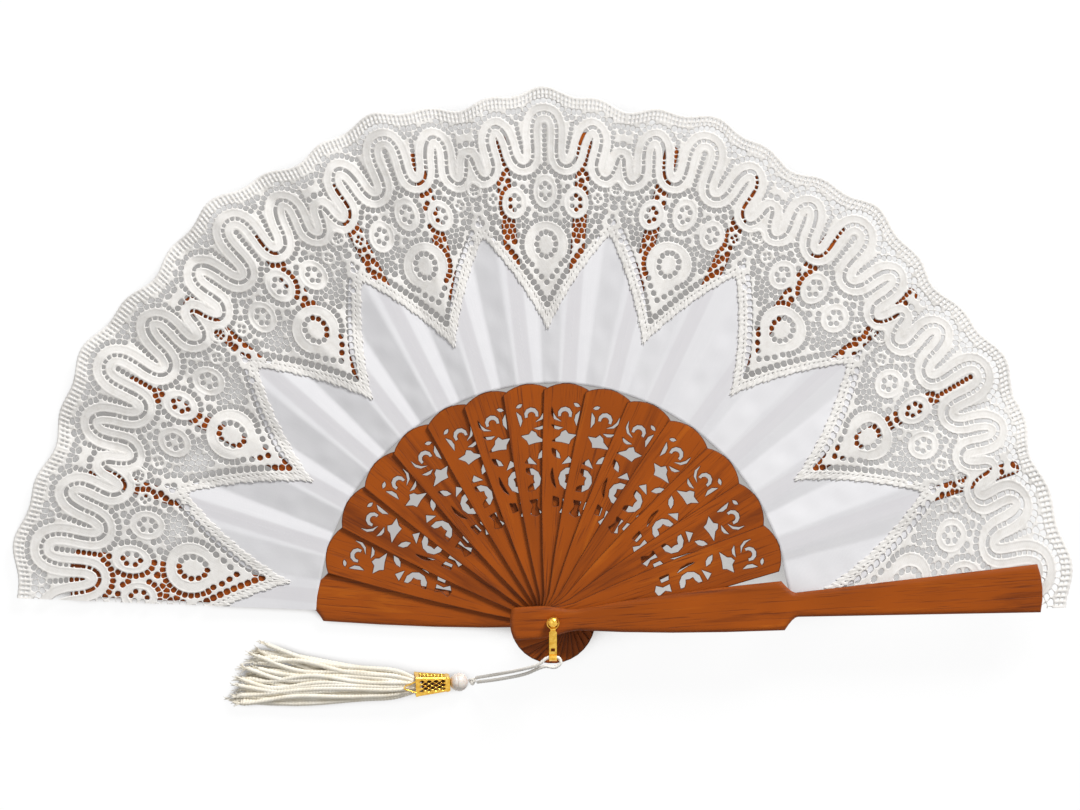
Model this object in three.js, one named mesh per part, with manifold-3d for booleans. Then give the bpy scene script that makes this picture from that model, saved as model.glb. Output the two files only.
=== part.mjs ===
// A lace folding fan, open: sixteen wooden sticks on one rivet, a pleated leaf of cloth with a
// border of tape lace, and a tassel on a strap that hangs from the rivet.
// Millimetres. X is right and Y is up as the open fan is looked at, Z points from its back to its
// front. The origin is on the rivet's axis, at the flat underside of its back head.
import * as THREE from "three";
import { mergeVertices } from "three/addons/utils/BufferGeometryUtils.js";
import Module from "manifold-3d";

const wasm = await Module();
wasm.setup();

// Sticks
const BLADES = 14; // pierced sticks between the two guards
const BACK_GUARD_ANGLE = -84.4; // degrees clockwise from straight up
const SPREAD_STEP = 11.14; // mean angle from one stick to the next
const SPREAD_WAVE = 2.1; // how far the sticks stand from an even spread
const FRONT_GUARD_ANGLE = 86.1;
const RIB_REACH = 212; // rivet's axis to the far end of ribs and guards
const BLADE_REACH = 103; // rivet's axis to the top of each blade
const HEAD_REACH = 18.6; // rivet's axis to the rounded end of each head
const HEAD_WIDTH = 14.2;
const NECK_WIDTH = 9.2;
const NECK_AT = 11; // rivet's axis to the narrowest place
const BLADE_WIDTH = 21.2;
const PATTERN_REACH = 103; // reach of the blade on which the openings are laid out
const SCALLOP_RISE = 3.6; // height of the blade's curved top
const RIB_WIDTH = 6.2;
const RIB_THICK = 0.7;
const BLADE_THICK = 1.2;
const GUARD_THICK = 3.5;
const GUARD_EDGE = 0.7; // the guards' rounded edge
const GUARD_WAIST = 10.4; // width where the guard runs behind or before the leaf
const GUARD_TIP = 20.8; // width at the guard's far end
const SHOULDER_LENGTH = 6; // the blade's end to the guard's waist
const LEAF_REBATE = 0.6; // what the guards are thinned by where the leaf is glued on
const STICK_PLAY = 0.1; // free play between neighbouring sticks

// Rivet, ring and strap
const PIN_RADIUS = 1.25;
const BORE_PLAY = 0.2;
const BACK_HEAD_RADIUS = 3.4;
const BACK_HEAD_THICK = 1.0;
const BALL_RADIUS = 2.45;
const BALL_NECK_RADIUS = 1.4;
const BALL_NECK_FOOT = 1.9; // radius of the neck's foot on the front guard
const BALL_NECK_FOOT_THICK = 0.4;
const RING_RADIUS = 2.55; // to the middle of the wire
const RING_WIRE = 0.35;
const RING_HANG = 0.6; // how far the ring hangs off the rivet's axis
const STRAP_WIDTH = 3.3;
const STRAP_TOP_WIDTH = 2.2;
const STRAP_WALL = 0.4;
const STRAP_CORE = 0.95; // thickness where the folded strip lies on itself
const STRAP_LENGTH = 12.5; // from the ring's eye to the cord's eye
const STRAP_SLOT_LENGTH = 1.3;
const STRAP_SLOT_WIDTH = 1.7;
const EYE_PLAY = 0.25;
const HARDWARE_GAP = 0.25; // brass to wood, and piece to piece on the tassel

// Leaf
const LEAF_START = BLADE_REACH + 0.8; // rivet's axis to the cloth's inner edge
const LEFT_OVERHANG = 3.35; // degrees of leaf outside each guard's middle
const RIGHT_OVERHANG = 2.4;
const MOUNTAIN_OFFSET = 2.3; // degrees from a rib's middle to the upper crease on its left
const VALLEY_OFFSET = 3.9; // degrees from a rib's middle to the lower crease on its right
const PANEL_SLOPE = 0.11; // fall of a rib's panel across its width
const LEAF_SEAT = 0.3; // cloth above the rib that carries it
const CLOTH_THICK = 0.35;
const LACE_THICK = 0.5;
const LACE_LIFT = 0.1; // between the cloth and the lace on it
const SEAM_GAP = 0.09; // degrees left open between two gores, on the rib's middle
const PETAL_PITCH = 1.83; // width of one lace petal, in gores
const FIRST_JUNCTION = 1.12; // where the first two petals meet, in gores from the back guard
const LACE_EDGE = 222; // rivet's axis to the lace's outer edge where two petals meet
const EDGE_SKEW = 3; // how much further that edge lies on the left, and how much nearer on the right
const PETAL_CROWN = 5.4; // rise of that edge towards the petal's middle
const PETAL_LOBE = 2.6; // rise of its three scallops
const PETAL_TIP = LACE_EDGE * 0.571; // rivet's axis to the inner point of a petal at the top
const PETAL_NOTCH = LACE_EDGE * 0.761; // and to the inner edge where two petals meet
const TIP_FALL = 0.236; // how much of the plain cloth a point further down the side covers
const TIP_FALL_AT = 59; // where that is, in degrees from straight up
const CLOTH_UNDER = 7; // cloth that runs under the petals
const LACE_EDGE_STEPS = 12; // straight pieces in a petal's scalloped edge
const BAND = LACE_EDGE - PETAL_NOTCH; // the lace's least width, by which its openings are laid out
// Middles of openings: place across half a petal, and depth inside the outer edge in bands.
const TAPE_TURNS = [[0, 0.17], [0.3, 0.245], [0.58, 0.19], [0.84, 0.38]];
const OVALS = [[0, 0.72], [0.44, 0.85]];
const MESH_HOLES = [[0.24, 0.57], [0.68, 0.6], [0.68, 0.91], [0.36, 1.06]];
const TEARDROP_DEPTH = 1.245;
// Half sizes of those openings: millimetres across, and bands along.
const TAPE_SLOT = [1.2, 0.13];
const OVAL = [2.6, 0.087];
const MESH_HOLE = [1.9, 0.042];
const TEARDROP_HOLE = [1.8, 0.038];
const LADDER_HOLE = [1.6, 0.04];
const LADDER_HOLES = 4; // along each side of a petal's point
const LADDER_INSET = 0.123; // bands from the petal's inner edge
const TEARDROP_HOLES = 6;
const TEARDROP_REACH = 0.132; // bands from the teardrop's middle to its openings

// Tassel
const CORD_RADIUS = 0.75;
const KNOT_RADIUS = 1.7;
const BEAD_RADIUS = 4;
const CAP_LENGTH = 15;
const CAP_TOP = 3.3; // half the side of the cap's square end
const CAP_MOUTH = 4.5; // half the side of its open end
const CAP_TURN = 14 * (Math.PI / 180); // how far the square is rolled about the cap's axis
const CAP_WALL = 0.6;
const CAP_BORE = 1;
const CAP_CORNER = 0.5; // how much its corners are rounded off
const SKIRT_LENGTH = 78; // beyond the cap's mouth
const SKIRT_SPREAD = 13.5; // half the skirt's width at its end
const SKIRT_DEPTH = 2.6; // half its thickness there
const SKIRT_FOLDS = 11;
const TABLE_GAP = 0.15; // tassel above the surface that the fan lies on

const STICKS = BLADES + 2;
const FRONT = STICKS - 1;
const BORE_RADIUS = PIN_RADIUS + BORE_PLAY;
const RAD = Math.PI / 180;
const BACK_GUARD_FOOT = BACK_HEAD_THICK + STICK_PLAY;
const STICK_PITCH = BLADE_THICK + STICK_PLAY;
const GUARD_TOP = stickFoot(FRONT) + GUARD_THICK;

// Angle of a stick's middle, clockwise from straight up, in degrees.
function stickAngle(k) {
  if (k === FRONT) return FRONT_GUARD_ANGLE;
  return BACK_GUARD_ANGLE + SPREAD_STEP * k + SPREAD_WAVE * Math.sin((Math.PI * k * 2) / BLADES);
}

// Height of a stick's underside above the origin.
function stickFoot(k) {
  if (k === 0) return BACK_GUARD_FOOT;
  return BACK_GUARD_FOOT + GUARD_THICK + STICK_PLAY + (k - 1) * STICK_PITCH;
}

// Solid from a geometry, and geometry from a solid.
function toSolid(geometry) {
  const bare = geometry.clone();
  bare.deleteAttribute("normal");
  bare.deleteAttribute("uv");
  const merged = mergeVertices(bare, 1e-4);
  return new wasm.Manifold(
    new wasm.Mesh({
      numProp: 3,
      vertProperties: new Float32Array(merged.attributes.position.array),
      triVerts: new Uint32Array(merged.index.array),
    }),
  );
}

function toGeometry(solid) {
  const { vertProperties, triVerts } = solid.getMesh();
  const geometry = new THREE.BufferGeometry();
  geometry.setAttribute("position", new THREE.BufferAttribute(new Float32Array(vertProperties), 3));
  geometry.setIndex(new THREE.BufferAttribute(new Uint32Array(triVerts), 1));
  return geometry;
}

// A path's points without neighbours that fall on each other.
function cleanPoints(path, segments) {
  const points = path.getPoints(segments);
  return points.filter((p, i) => p.distanceTo(points[(i + 1) % points.length]) > 1e-3);
}

function cleanShape(path, segments) {
  const shape = new THREE.Shape(cleanPoints(path, segments));
  shape.holes = path.holes.map((hole) => new THREE.Path(cleanPoints(hole, segments)));
  return shape;
}

function extrude(path, thick, segments = 4) {
  return new THREE.ExtrudeGeometry(cleanShape(path, segments), {
    depth: thick,
    bevelEnabled: false,
  });
}

function box(x0, x1, y0, y1, z0, z1) {
  return new THREE.BoxGeometry(x1 - x0, y1 - y0, z1 - z0).translate(
    (x0 + x1) / 2,
    (y0 + y1) / 2,
    (z0 + z1) / 2,
  );
}

// The bore for the rivet's pin, along Z.
function bore(thick) {
  return toSolid(
    new THREE.CylinderGeometry(BORE_RADIUS, BORE_RADIUS, 3 * thick, 10).rotateX(Math.PI / 2),
  );
}

// Side line of a stick from its head to its shoulder. The stick points along X, and side is 1 or -1.
// Walked from the head outwards, or back again.
function drawSide(path, side, outwards) {
  const head = HEAD_WIDTH / 2;
  const neck = NECK_WIDTH / 2;
  const wide = BLADE_WIDTH / 2;
  const shoulder = BLADE_REACH - SCALLOP_RISE;
  const bend = NECK_AT * 0.35;
  const swell = NECK_AT + (shoulder - NECK_AT) * 0.4;
  if (outwards) {
    path.lineTo(-NECK_AT * 0.6, side * head);
    path.bezierCurveTo(0, side * head, bend, side * neck, NECK_AT, side * neck);
    path.quadraticCurveTo(swell, side * wide * 0.86, shoulder, side * wide);
    return;
  }
  path.quadraticCurveTo(swell, side * wide * 0.86, NECK_AT, side * neck);
  path.bezierCurveTo(bend, side * neck, 0, side * head, -NECK_AT * 0.6, side * head);
}

// The head's round end: an arc about the rivet's axis with its corners taken off.
function drawHead(path) {
  const half = Math.asin(HEAD_WIDTH / 2 / HEAD_REACH) * 0.86;
  const steps = 4;
  path.lineTo(-HEAD_REACH * 0.88, HEAD_WIDTH / 2);
  for (let i = 0; i <= steps; i++) {
    const a = Math.PI - half + (2 * half * i) / steps;
    path.lineTo(HEAD_REACH * Math.cos(a), HEAD_REACH * Math.sin(a));
  }
  path.lineTo(-HEAD_REACH * 0.88, -HEAD_WIDTH / 2);
}

const LEAF_POINTS = 3; // on each side of a pointed opening

// Points of the fretwork. s runs along the blade from the rivet's axis and t across it.
function pointedLeaf(s0, t0, s1, t1, bulgeA, bulgeB) {
  const along = new THREE.Vector2(s1 - s0, t1 - t0);
  const across = new THREE.Vector2(-along.y, along.x).normalize();
  const points = [];
  const sides = [bulgeA, bulgeB];
  sides.forEach((bulge, which) => {
    for (let i = 0; i < LEAF_POINTS; i++) {
      const f = which ? 1 - i / LEAF_POINTS : i / LEAF_POINTS;
      const swell = bulge * Math.sin(Math.PI * f);
      points.push(new THREE.Vector2(s0, t0).addScaledVector(along, f).addScaledVector(across, swell));
    }
  });
  return points;
}

function crescent(s, t, outer, inner, shift, facing, halfSpan, teeth) {
  const steps = 6;
  const points = [];
  for (let i = 0; i <= steps; i++) {
    const a = (facing - halfSpan + (2 * halfSpan * i) / steps) * RAD;
    points.push(new THREE.Vector2(s + outer * Math.cos(a), t + outer * Math.sin(a)));
  }
  const cs = s - shift * Math.cos(facing * RAD);
  const ct = t - shift * Math.sin(facing * RAD);
  for (let i = steps; i >= 0; i--) {
    const a = (facing - halfSpan * 0.94 + (2 * halfSpan * 0.94 * i) / steps) * RAD;
    const reach = inner + (i % 2 ? teeth : 0);
    points.push(new THREE.Vector2(cs + reach * Math.cos(a), ct + reach * Math.sin(a)));
  }
  return points;
}

function mapleLeaf(s, t, radii) {
  return radii.map((reach, i) => {
    const a = (2 * Math.PI * i) / radii.length;
    return new THREE.Vector2(s + reach * Math.cos(a), t + reach * Math.sin(a));
  });
}

function polygon(...pairs) {
  return pairs.map(([s, t]) => new THREE.Vector2(s, t));
}

// The openings of one blade, from its top to its foot.
function fretwork() {
  return [
    crescent(89.6, -0.7, 3.1, 1.8, 0.5, 0, 112, 0),
    pointedLeaf(94.5, 2.8, 93.2, 5.6, 0.9, -0.7),
    pointedLeaf(92.4, -6.6, 86.2, -2.0, 2.3, 1.1),
    pointedLeaf(91.4, 5.7, 84.8, 4.6, -0.1, 1.7),
    pointedLeaf(84.6, -6.3, 83.6, -1.2, 1.5, 0.1),
    mapleLeaf(79.3, 0, [3.4, 2.3, 5.0, 2.6, 3.2, 2.2, 2.4, 5.8, 2.4, 2.9]),
    pointedLeaf(74.4, -5.4, 70.2, -1.4, 1.4, -1.1),
    polygon([67.9, -0.6], [71.4, 2.1], [69.0, 4.3]),
    crescent(61.7, 3.3, 5.0, 3.3, 0.6, -90, 100, -0.8),
    pointedLeaf(66.2, -4.7, 57.2, -2.5, 1.4, 0.2),
    polygon([53.7, -3.5], [53.0, -1.1], [49.7, -0.8], [49.4, -3.1]),
    polygon([52.8, 0.8], [52.6, 4.1], [50.2, 2.9], [46.8, 4.4], [45.8, 1.9], [47.0, -0.3], [49.6, 1.3]),
  ];
}

// A pierced stick, pointing along X, with its underside at z = 0.
function bladeSolid(mirror) {
  const shape = new THREE.Shape();
  const wide = BLADE_WIDTH / 2;
  const scallop = (wide * wide + SCALLOP_RISE * SCALLOP_RISE) / (2 * SCALLOP_RISE);
  const sweep = Math.asin(wide / scallop);
  shape.moveTo(-NECK_AT * 0.6, -HEAD_WIDTH / 2);
  drawSide(shape, -1, true);
  shape.absarc(BLADE_REACH - scallop, 0, scallop, -sweep, sweep, false);
  drawSide(shape, 1, false);
  drawHead(shape);
  for (const points of fretwork()) {
    const place = (p) => new THREE.Vector2((p.x * BLADE_REACH) / PATTERN_REACH, mirror * p.y);
    shape.holes.push(new THREE.Path(points.map(place)));
  }
  const rib = extrude(ribShape(), RIB_THICK);
  return toSolid(extrude(shape, BLADE_THICK)).add(toSolid(rib)).subtract(bore(GUARD_THICK));
}

// The thin rib behind the leaf, rooted in the blade.
function ribShape() {
  const half = RIB_WIDTH / 2;
  const root = BLADE_REACH - 2 * SCALLOP_RISE;
  const shape = new THREE.Shape();
  shape.moveTo(root, -half);
  shape.lineTo(RIB_REACH - half, -half);
  shape.quadraticCurveTo(RIB_REACH, -half, RIB_REACH, 0);
  shape.quadraticCurveTo(RIB_REACH, half, RIB_REACH - half, half);
  shape.lineTo(root, half);
  return shape;
}

// A guard, pointing along X, with its underside at z = 0. The leaf's rebate is cut in its top face
// on the back guard and in its underside on the front guard.
function guardSolid(rebateOnTop) {
  const waist = GUARD_WAIST / 2;
  const tip = GUARD_TIP / 2;
  const waistAt = BLADE_REACH - SCALLOP_RISE + SHOULDER_LENGTH;
  const bow = 2; // the rounded far end
  const shape = new THREE.Shape();
  shape.moveTo(-NECK_AT * 0.6, -HEAD_WIDTH / 2);
  drawSide(shape, -1, true);
  shape.quadraticCurveTo(waistAt - SHOULDER_LENGTH / 3, -waist, waistAt, -waist);
  shape.lineTo(RIB_REACH - bow, -tip);
  shape.quadraticCurveTo(RIB_REACH + bow / 2, 0, RIB_REACH - bow, tip);
  shape.lineTo(waistAt, waist);
  shape.quadraticCurveTo(waistAt - SHOULDER_LENGTH / 3, waist, BLADE_REACH - SCALLOP_RISE, BLADE_WIDTH / 2);
  drawSide(shape, 1, false);
  drawHead(shape);
  const rounded = new THREE.ExtrudeGeometry(cleanShape(shape, 4), {
    depth: GUARD_THICK - 2 * GUARD_EDGE,
    bevelEnabled: true,
    bevelThickness: GUARD_EDGE,
    bevelSize: GUARD_EDGE,
    bevelOffset: -GUARD_EDGE,
    bevelSegments: 1,
  }).translate(0, 0, GUARD_EDGE);
  const beyond = RIB_REACH + GUARD_TIP;
  const start = LEAF_START - CLOTH_THICK - LEAF_SEAT;
  const cut = rebateOnTop
    ? box(start, beyond, -GUARD_TIP, GUARD_TIP, GUARD_THICK - LEAF_REBATE, 2 * GUARD_THICK)
    : box(start, beyond, -GUARD_TIP, GUARD_TIP, -GUARD_THICK, LEAF_REBATE);
  return toSolid(rounded).subtract(toSolid(cut)).subtract(bore(GUARD_THICK));
}

// The leaf's surface. u counts gores from the back guard's middle, 0, to the front guard's, 15.
function leafAngle(u) {
  const k = Math.min(Math.max(Math.floor(u), 0), FRONT - 1);
  return stickAngle(k) + (stickAngle(k + 1) - stickAngle(k)) * (u - k);
}

function goreWidth(k) {
  const from = Math.floor(k);
  return stickAngle(from + 1) - stickAngle(from);
}

// Height of the face that the leaf is glued to on stick k. Under the front guard the leaf hangs.
function seatHeight(k) {
  if (k === 0) return stickFoot(0) + GUARD_THICK - LEAF_REBATE;
  if (k < FRONT) return stickFoot(k) + RIB_THICK;
  return stickFoot(FRONT) + LEAF_REBATE - 2 * LEAF_SEAT - CLOTH_THICK - LACE_LIFT - LACE_THICK;
}

// Underside of the leaf at a crease beside stick k, a given number of degrees to its right.
function creaseHeight(k, offset, r) {
  const slope = k === 0 || k === FRONT ? 0 : PANEL_SLOPE;
  return seatHeight(k) + LEAF_SEAT + slope * (RIB_WIDTH / 2 - offset * RAD * r);
}

// The four lines that bound the three flat panels of gore k: half of one rib's panel, the free
// panel and half of the next rib's panel. Each has its u and the height of the leaf's underside.
function goreLines(k) {
  const width = goreWidth(k);
  const first = k === 0 ? -LEFT_OVERHANG / width : k + SEAM_GAP / 2 / width;
  const last = k === FRONT - 1 ? FRONT + RIGHT_OVERHANG / width : k + 1 - SEAM_GAP / 2 / width;
  const line = (u, stick) => ({ u, height: (r) => creaseHeight(stick, (u - stick) * width, r) });
  return [
    line(first, k),
    line(k + VALLEY_OFFSET / width, k),
    line(k + 1 - MOUNTAIN_OFFSET / width, k + 1),
    line(last, k + 1),
  ];
}

// Flat pattern of the leaf: x is u, in gores, and y is the distance from the rivet's axis.
const LEAST_STEP = 0.012; // in gores, between an edge's corner and a crease
const PETALS = Math.ceil(FRONT / PETAL_PITCH);
const GORE_AT_RIM = goreWidth(FRONT / 2) * RAD * RIB_REACH; // millimetres in one gore there

// Place across a petal, -1 and 1 where it meets its neighbours.
function acrossPetal(u) {
  const turns = (u - FIRST_JUNCTION) / PETAL_PITCH + 0.5;
  return 2 * (turns - Math.round(turns));
}

function laceOuter(u) {
  const v = acrossPetal(u);
  const crown = Math.cos((Math.PI * v) / 2) ** 2;
  const edge = LACE_EDGE - EDGE_SKEW * Math.sin(leafAngle(u) * RAD);
  return edge + PETAL_CROWN * crown + (PETAL_LOBE * (1 + Math.cos(3 * Math.PI * v))) / 2;
}

function laceInner(u) {
  const tip = PETAL_TIP - (PETAL_TIP - LEAF_START) * TIP_FALL * (leafAngle(u) / TIP_FALL_AT) ** 2;
  return tip + (PETAL_NOTCH - tip) * Math.abs(acrossPetal(u));
}

const clothOuter = (u) => laceInner(u) + CLOTH_UNDER;
const clothInner = () => LEAF_START;

// Points of an edge from u0 to u1, with the given number of steps to a petal.
function edgePoints(edge, steps, u0, u1) {
  const step = PETAL_PITCH / steps;
  const points = [new THREE.Vector2(u0, edge(u0))];
  for (let i = Math.ceil((u0 - FIRST_JUNCTION) / step); FIRST_JUNCTION + i * step < u1; i++) {
    const u = FIRST_JUNCTION + i * step;
    if (u > u0 + LEAST_STEP && u < u1 - LEAST_STEP) points.push(new THREE.Vector2(u, edge(u)));
  }
  points.push(new THREE.Vector2(u1, edge(u1)));
  return points;
}

// An opening's outline, with its radii in millimetres, walked clockwise.
function ovalHole(u, r, across, along, sides, turn = 0) {
  return Array.from({ length: sides }, (_, i) => {
    const a = turn + (2 * Math.PI * i) / sides;
    return new THREE.Vector2(u + (across * Math.sin(a)) / GORE_AT_RIM, r + along * Math.cos(a));
  });
}

// The larger openings in the lace of one petal.
function petalOpenings(j) {
  const at = (v) => FIRST_JUNCTION + PETAL_PITCH * (j - 0.5 + v / 2);
  const holes = [];
  const open = (v, r, [across, along], sides, turn = 0) => {
    holes.push(ovalHole(at(v), r, across, along * BAND, sides, turn));
  };
  const rows = [[TAPE_TURNS, TAPE_SLOT, 6], [OVALS, OVAL, 6], [MESH_HOLES, MESH_HOLE, 4]];
  for (const [places, size, sides] of rows) {
    for (const [v, depth] of places) {
      for (const side of v ? [-1, 1] : [1]) open(side * v, LACE_EDGE - depth * BAND, size, sides);
    }
  }
  for (const side of [-1, 1]) {
    for (let i = 0; i < LADDER_HOLES; i++) {
      const v = side * (0.2 + (0.62 * i) / (LADDER_HOLES - 1));
      open(v, laceInner(at(v)) + LADDER_INSET * BAND, LADDER_HOLE, 4);
    }
  }
  for (let i = 0; i < TEARDROP_HOLES; i++) {
    const a = (2 * Math.PI * i) / TEARDROP_HOLES;
    const reach = TEARDROP_REACH * BAND;
    const across = (reach * 0.7 * Math.sin(a)) / GORE_AT_RIM;
    const r = LACE_EDGE - TEARDROP_DEPTH * BAND + reach * Math.cos(a);
    open((2 * across) / PETAL_PITCH, r, TEARDROP_HOLE, 4, a);
  }
  return holes;
}

// Every opening that keeps a rim to the leaf's two ends.
function laceOpenings() {
  const rim = 1.2 / GORE_AT_RIM;
  const first = goreLines(0)[0].u + rim;
  const last = goreLines(FRONT - 1)[3].u - rim;
  const all = Array.from({ length: PETALS }, (_, j) => petalOpenings(j)).flat();
  return all.filter((hole) => hole.every((p) => p.x > first && p.x < last));
}

// Where a convex outline crosses the line x = u: its part on each side, and the two crossings.
function crossing(hole, u) {
  const parts = { left: [], right: [], cuts: [] };
  hole.forEach((p, i) => {
    const q = hole[(i + 1) % hole.length];
    (p.x < u ? parts.left : parts.right).push(p);
    if (p.x < u === q.x < u) return;
    const cut = p.clone().lerp(q, (u - p.x) / (q.x - p.x));
    cut.x = u;
    parts.left.push(cut);
    parts.right.push(cut);
    parts.cuts.push(cut);
  });
  return parts;
}

// Border of a panel on the line x = u, from its lower to its upper end, going round the openings
// that the line cuts. side tells which part of those openings lies in the panel.
function borderPoints(holes, u, low, high, side) {
  const points = [];
  const cut = holes.filter((h) => h.some((p) => p.x < u) && h.some((p) => p.x >= u));
  const parts = cut.map((hole) => crossing(hole, u));
  const foot = (part) => Math.min(part.cuts[0].y, part.cuts[1].y);
  parts.sort((p, q) => foot(p) - foot(q));
  for (const part of parts) {
    const ring = part[side];
    const start = ring.findIndex((p) => p.x === u && p.y === foot(part));
    const turned = [...ring.slice(start), ...ring.slice(0, start)];
    // The lower crossing comes first, and the walk goes away from the line before the upper one.
    if (turned[1].x === u) turned.push(...turned.splice(1).reverse());
    points.push(...turned);
  }
  return [new THREE.Vector2(u, low), ...points, new THREE.Vector2(u, high)];
}

// One gore of the leaf as a thin folded solid. lower and upper are its edges as functions of u.
function goreGeometry(k, lift, thick, lower, lowerSteps, upper, upperSteps, holes) {
  const lines = goreLines(k);
  const positions = [];
  const faces = [];
  for (let i = 0; i < 3; i++) {
    const [a, b] = [lines[i], lines[i + 1]];
    const place = (p, top) => {
      const f = (p.x - a.u) / (b.u - a.u);
      const angle = leafAngle(p.x) * RAD;
      const level = a.height(p.y) * (1 - f) + b.height(p.y) * f + lift;
      return [p.y * Math.sin(angle), p.y * Math.cos(angle), level + (top ? thick : 0)];
    };
    const inner = holes.filter((h) => h.every((p) => p.x > a.u && p.x < b.u));
    const left = borderPoints(holes, a.u, lower(a.u), upper(a.u), "right").reverse();
    const right = borderPoints(holes, b.u, lower(b.u), upper(b.u), "left");
    const bottom = edgePoints(lower, lowerSteps, a.u, b.u).slice(1, -1);
    const top = edgePoints(upper, upperSteps, a.u, b.u).slice(1, -1).reverse();
    const contour = [...bottom, ...right, ...top, ...left];
    const loops = [contour, ...inner];
    const triangles = THREE.ShapeUtils.triangulateShape(contour, inner);
    const base = positions.length / 3;
    const flat = loops.flat();
    for (const p of flat) positions.push(...place(p, false), ...place(p, true));
    for (const [p, q, r] of triangles) {
      faces.push(base + 2 * p, base + 2 * r, base + 2 * q);
      faces.push(base + 2 * p + 1, base + 2 * q + 1, base + 2 * r + 1);
    }
    let start = 0;
    for (const loop of loops) {
      loop.forEach((p, n) => {
        const q = loop[(n + 1) % loop.length];
        const onFold = [i > 0 && a.u, i < 2 && b.u].some((u) => u !== false && p.x === u && q.x === u);
        if (onFold) return;
        const [m0, m1] = [base + 2 * (start + n), base + 2 * (start + ((n + 1) % loop.length))];
        faces.push(m0, m1, m1 + 1, m0, m1 + 1, m0 + 1);
      });
      start += loop.length;
    }
  }
  const geometry = new THREE.BufferGeometry();
  geometry.setAttribute("position", new THREE.Float32BufferAttribute(positions, 3));
  geometry.setIndex(faces);
  return mergeVertices(geometry, 1e-4);
}

// Materials
const finish = (color, roughness, metalness) => ({ color, roughness, metalness });
const WOOD = finish(0xa4511c, 0.42, 0);
const WOOD_LIGHT = finish(0xb25a1e, 0.42, 0);
const BRASS = finish(0xd9b24a, 0.25, 1);
const CLOTH = finish(0xe6e4ee, 0.85, 0);
const LACE = finish(0xf1efe8, 0.9, 0);
const CREAM = finish(0xe9e3d2, 0.85, 0);

const fan = new THREE.Group();
const number = (k) => String(k).padStart(2, "0");

function addPiece(parent, name, geometry, look) {
  const mesh = new THREE.Mesh(geometry, new THREE.MeshStandardMaterial(look));
  mesh.name = name;
  parent.add(mesh);
  return mesh;
}

// A turned group that holds one stick at its angle and height.
function stickPlace(k) {
  const place = new THREE.Group();
  place.rotation.z = (90 - stickAngle(k)) * RAD;
  place.position.z = stickFoot(k);
  fan.add(place);
  return place;
}

function addSticks() {
  const bladeShapes = [toGeometry(bladeSolid(1)), toGeometry(bladeSolid(-1))];
  addPiece(stickPlace(0), "guard_back", toGeometry(guardSolid(true)), WOOD);
  for (let k = 1; k <= BLADES; k++) {
    addPiece(stickPlace(k), "stick_" + number(k), bladeShapes[(k + 1) % 2], WOOD_LIGHT);
  }
  addPiece(stickPlace(FRONT), "guard_front", toGeometry(guardSolid(false)), WOOD);
}

function addLeaf() {
  const holes = laceOpenings();
  const lift = CLOTH_THICK + LACE_LIFT;
  for (let k = 0; k < FRONT; k++) {
    const cloth = goreGeometry(k, 0, CLOTH_THICK, clothInner, 1, clothOuter, 2, []);
    const lace = goreGeometry(k, lift, LACE_THICK, laceInner, 2, laceOuter, LACE_EDGE_STEPS, holes);
    addPiece(fan, "leaf_cloth_" + number(k + 1), cloth, CLOTH);
    addPiece(fan, "leaf_lace_" + number(k + 1), lace, LACE);
  }
}

// Rivet
const RING_LEVEL = GUARD_TOP + HARDWARE_GAP + STRAP_WALL + RING_WIRE + EYE_PLAY;
const RING_TO_BALL = RING_WIRE + BALL_RADIUS + 0.15;
const RING_NEAREST = RING_RADIUS - RING_HANG;
const BALL_LEVEL = RING_LEVEL + Math.sqrt(RING_TO_BALL ** 2 - RING_NEAREST ** 2);

function addRivet() {
  const head = new THREE.LatheGeometry(
    polygon(
      [0, 0],
      [BACK_HEAD_RADIUS - 0.4, 0],
      [BACK_HEAD_RADIUS, 0.4],
      [BACK_HEAD_RADIUS, BACK_HEAD_THICK],
      [0, BACK_HEAD_THICK],
    ),
    20,
  ).rotateX(Math.PI / 2);
  addPiece(fan, "rivet_back_head", head, BRASS);
  const pinLength = GUARD_TOP + STICK_PLAY - BACK_HEAD_THICK;
  const pin = new THREE.CylinderGeometry(PIN_RADIUS, PIN_RADIUS, pinLength, 16).rotateX(Math.PI / 2);
  pin.translate(0, 0, BACK_HEAD_THICK + pinLength / 2);
  addPiece(fan, "rivet_pin", pin, BRASS);

  const foot = GUARD_TOP + STICK_PLAY;
  const profile = polygon(
    [0, foot],
    [BALL_NECK_FOOT, foot],
    [BALL_NECK_FOOT, foot + BALL_NECK_FOOT_THICK],
    [BALL_NECK_RADIUS, foot + BALL_NECK_FOOT_THICK],
  );
  const from = -Math.acos(BALL_NECK_RADIUS / BALL_RADIUS);
  const steps = 7;
  for (let i = 0; i <= steps; i++) {
    const a = from + ((Math.PI / 2 - from) * i) / steps;
    const reach = i === steps ? 0 : BALL_RADIUS * Math.cos(a);
    profile.push(new THREE.Vector2(reach, BALL_LEVEL + BALL_RADIUS * Math.sin(a)));
  }
  addPiece(fan, "rivet_ball", new THREE.LatheGeometry(profile, 14).rotateX(Math.PI / 2), BRASS);
}

// Ring and strap. The strap is a strip folded round the ring's wire at one end and round the
// cord at the other.
const CORD_EYE = CORD_RADIUS + EYE_PLAY;
const RING_EYE = RING_WIRE + EYE_PLAY;
const RING_EYE_AT = -(RING_HANG + RING_RADIUS) + 0.1;
const CORD_EYE_AT = RING_EYE_AT - STRAP_LENGTH;
const CORD_EYE_LEVEL = RING_LEVEL - RING_EYE + CORD_EYE;

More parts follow.
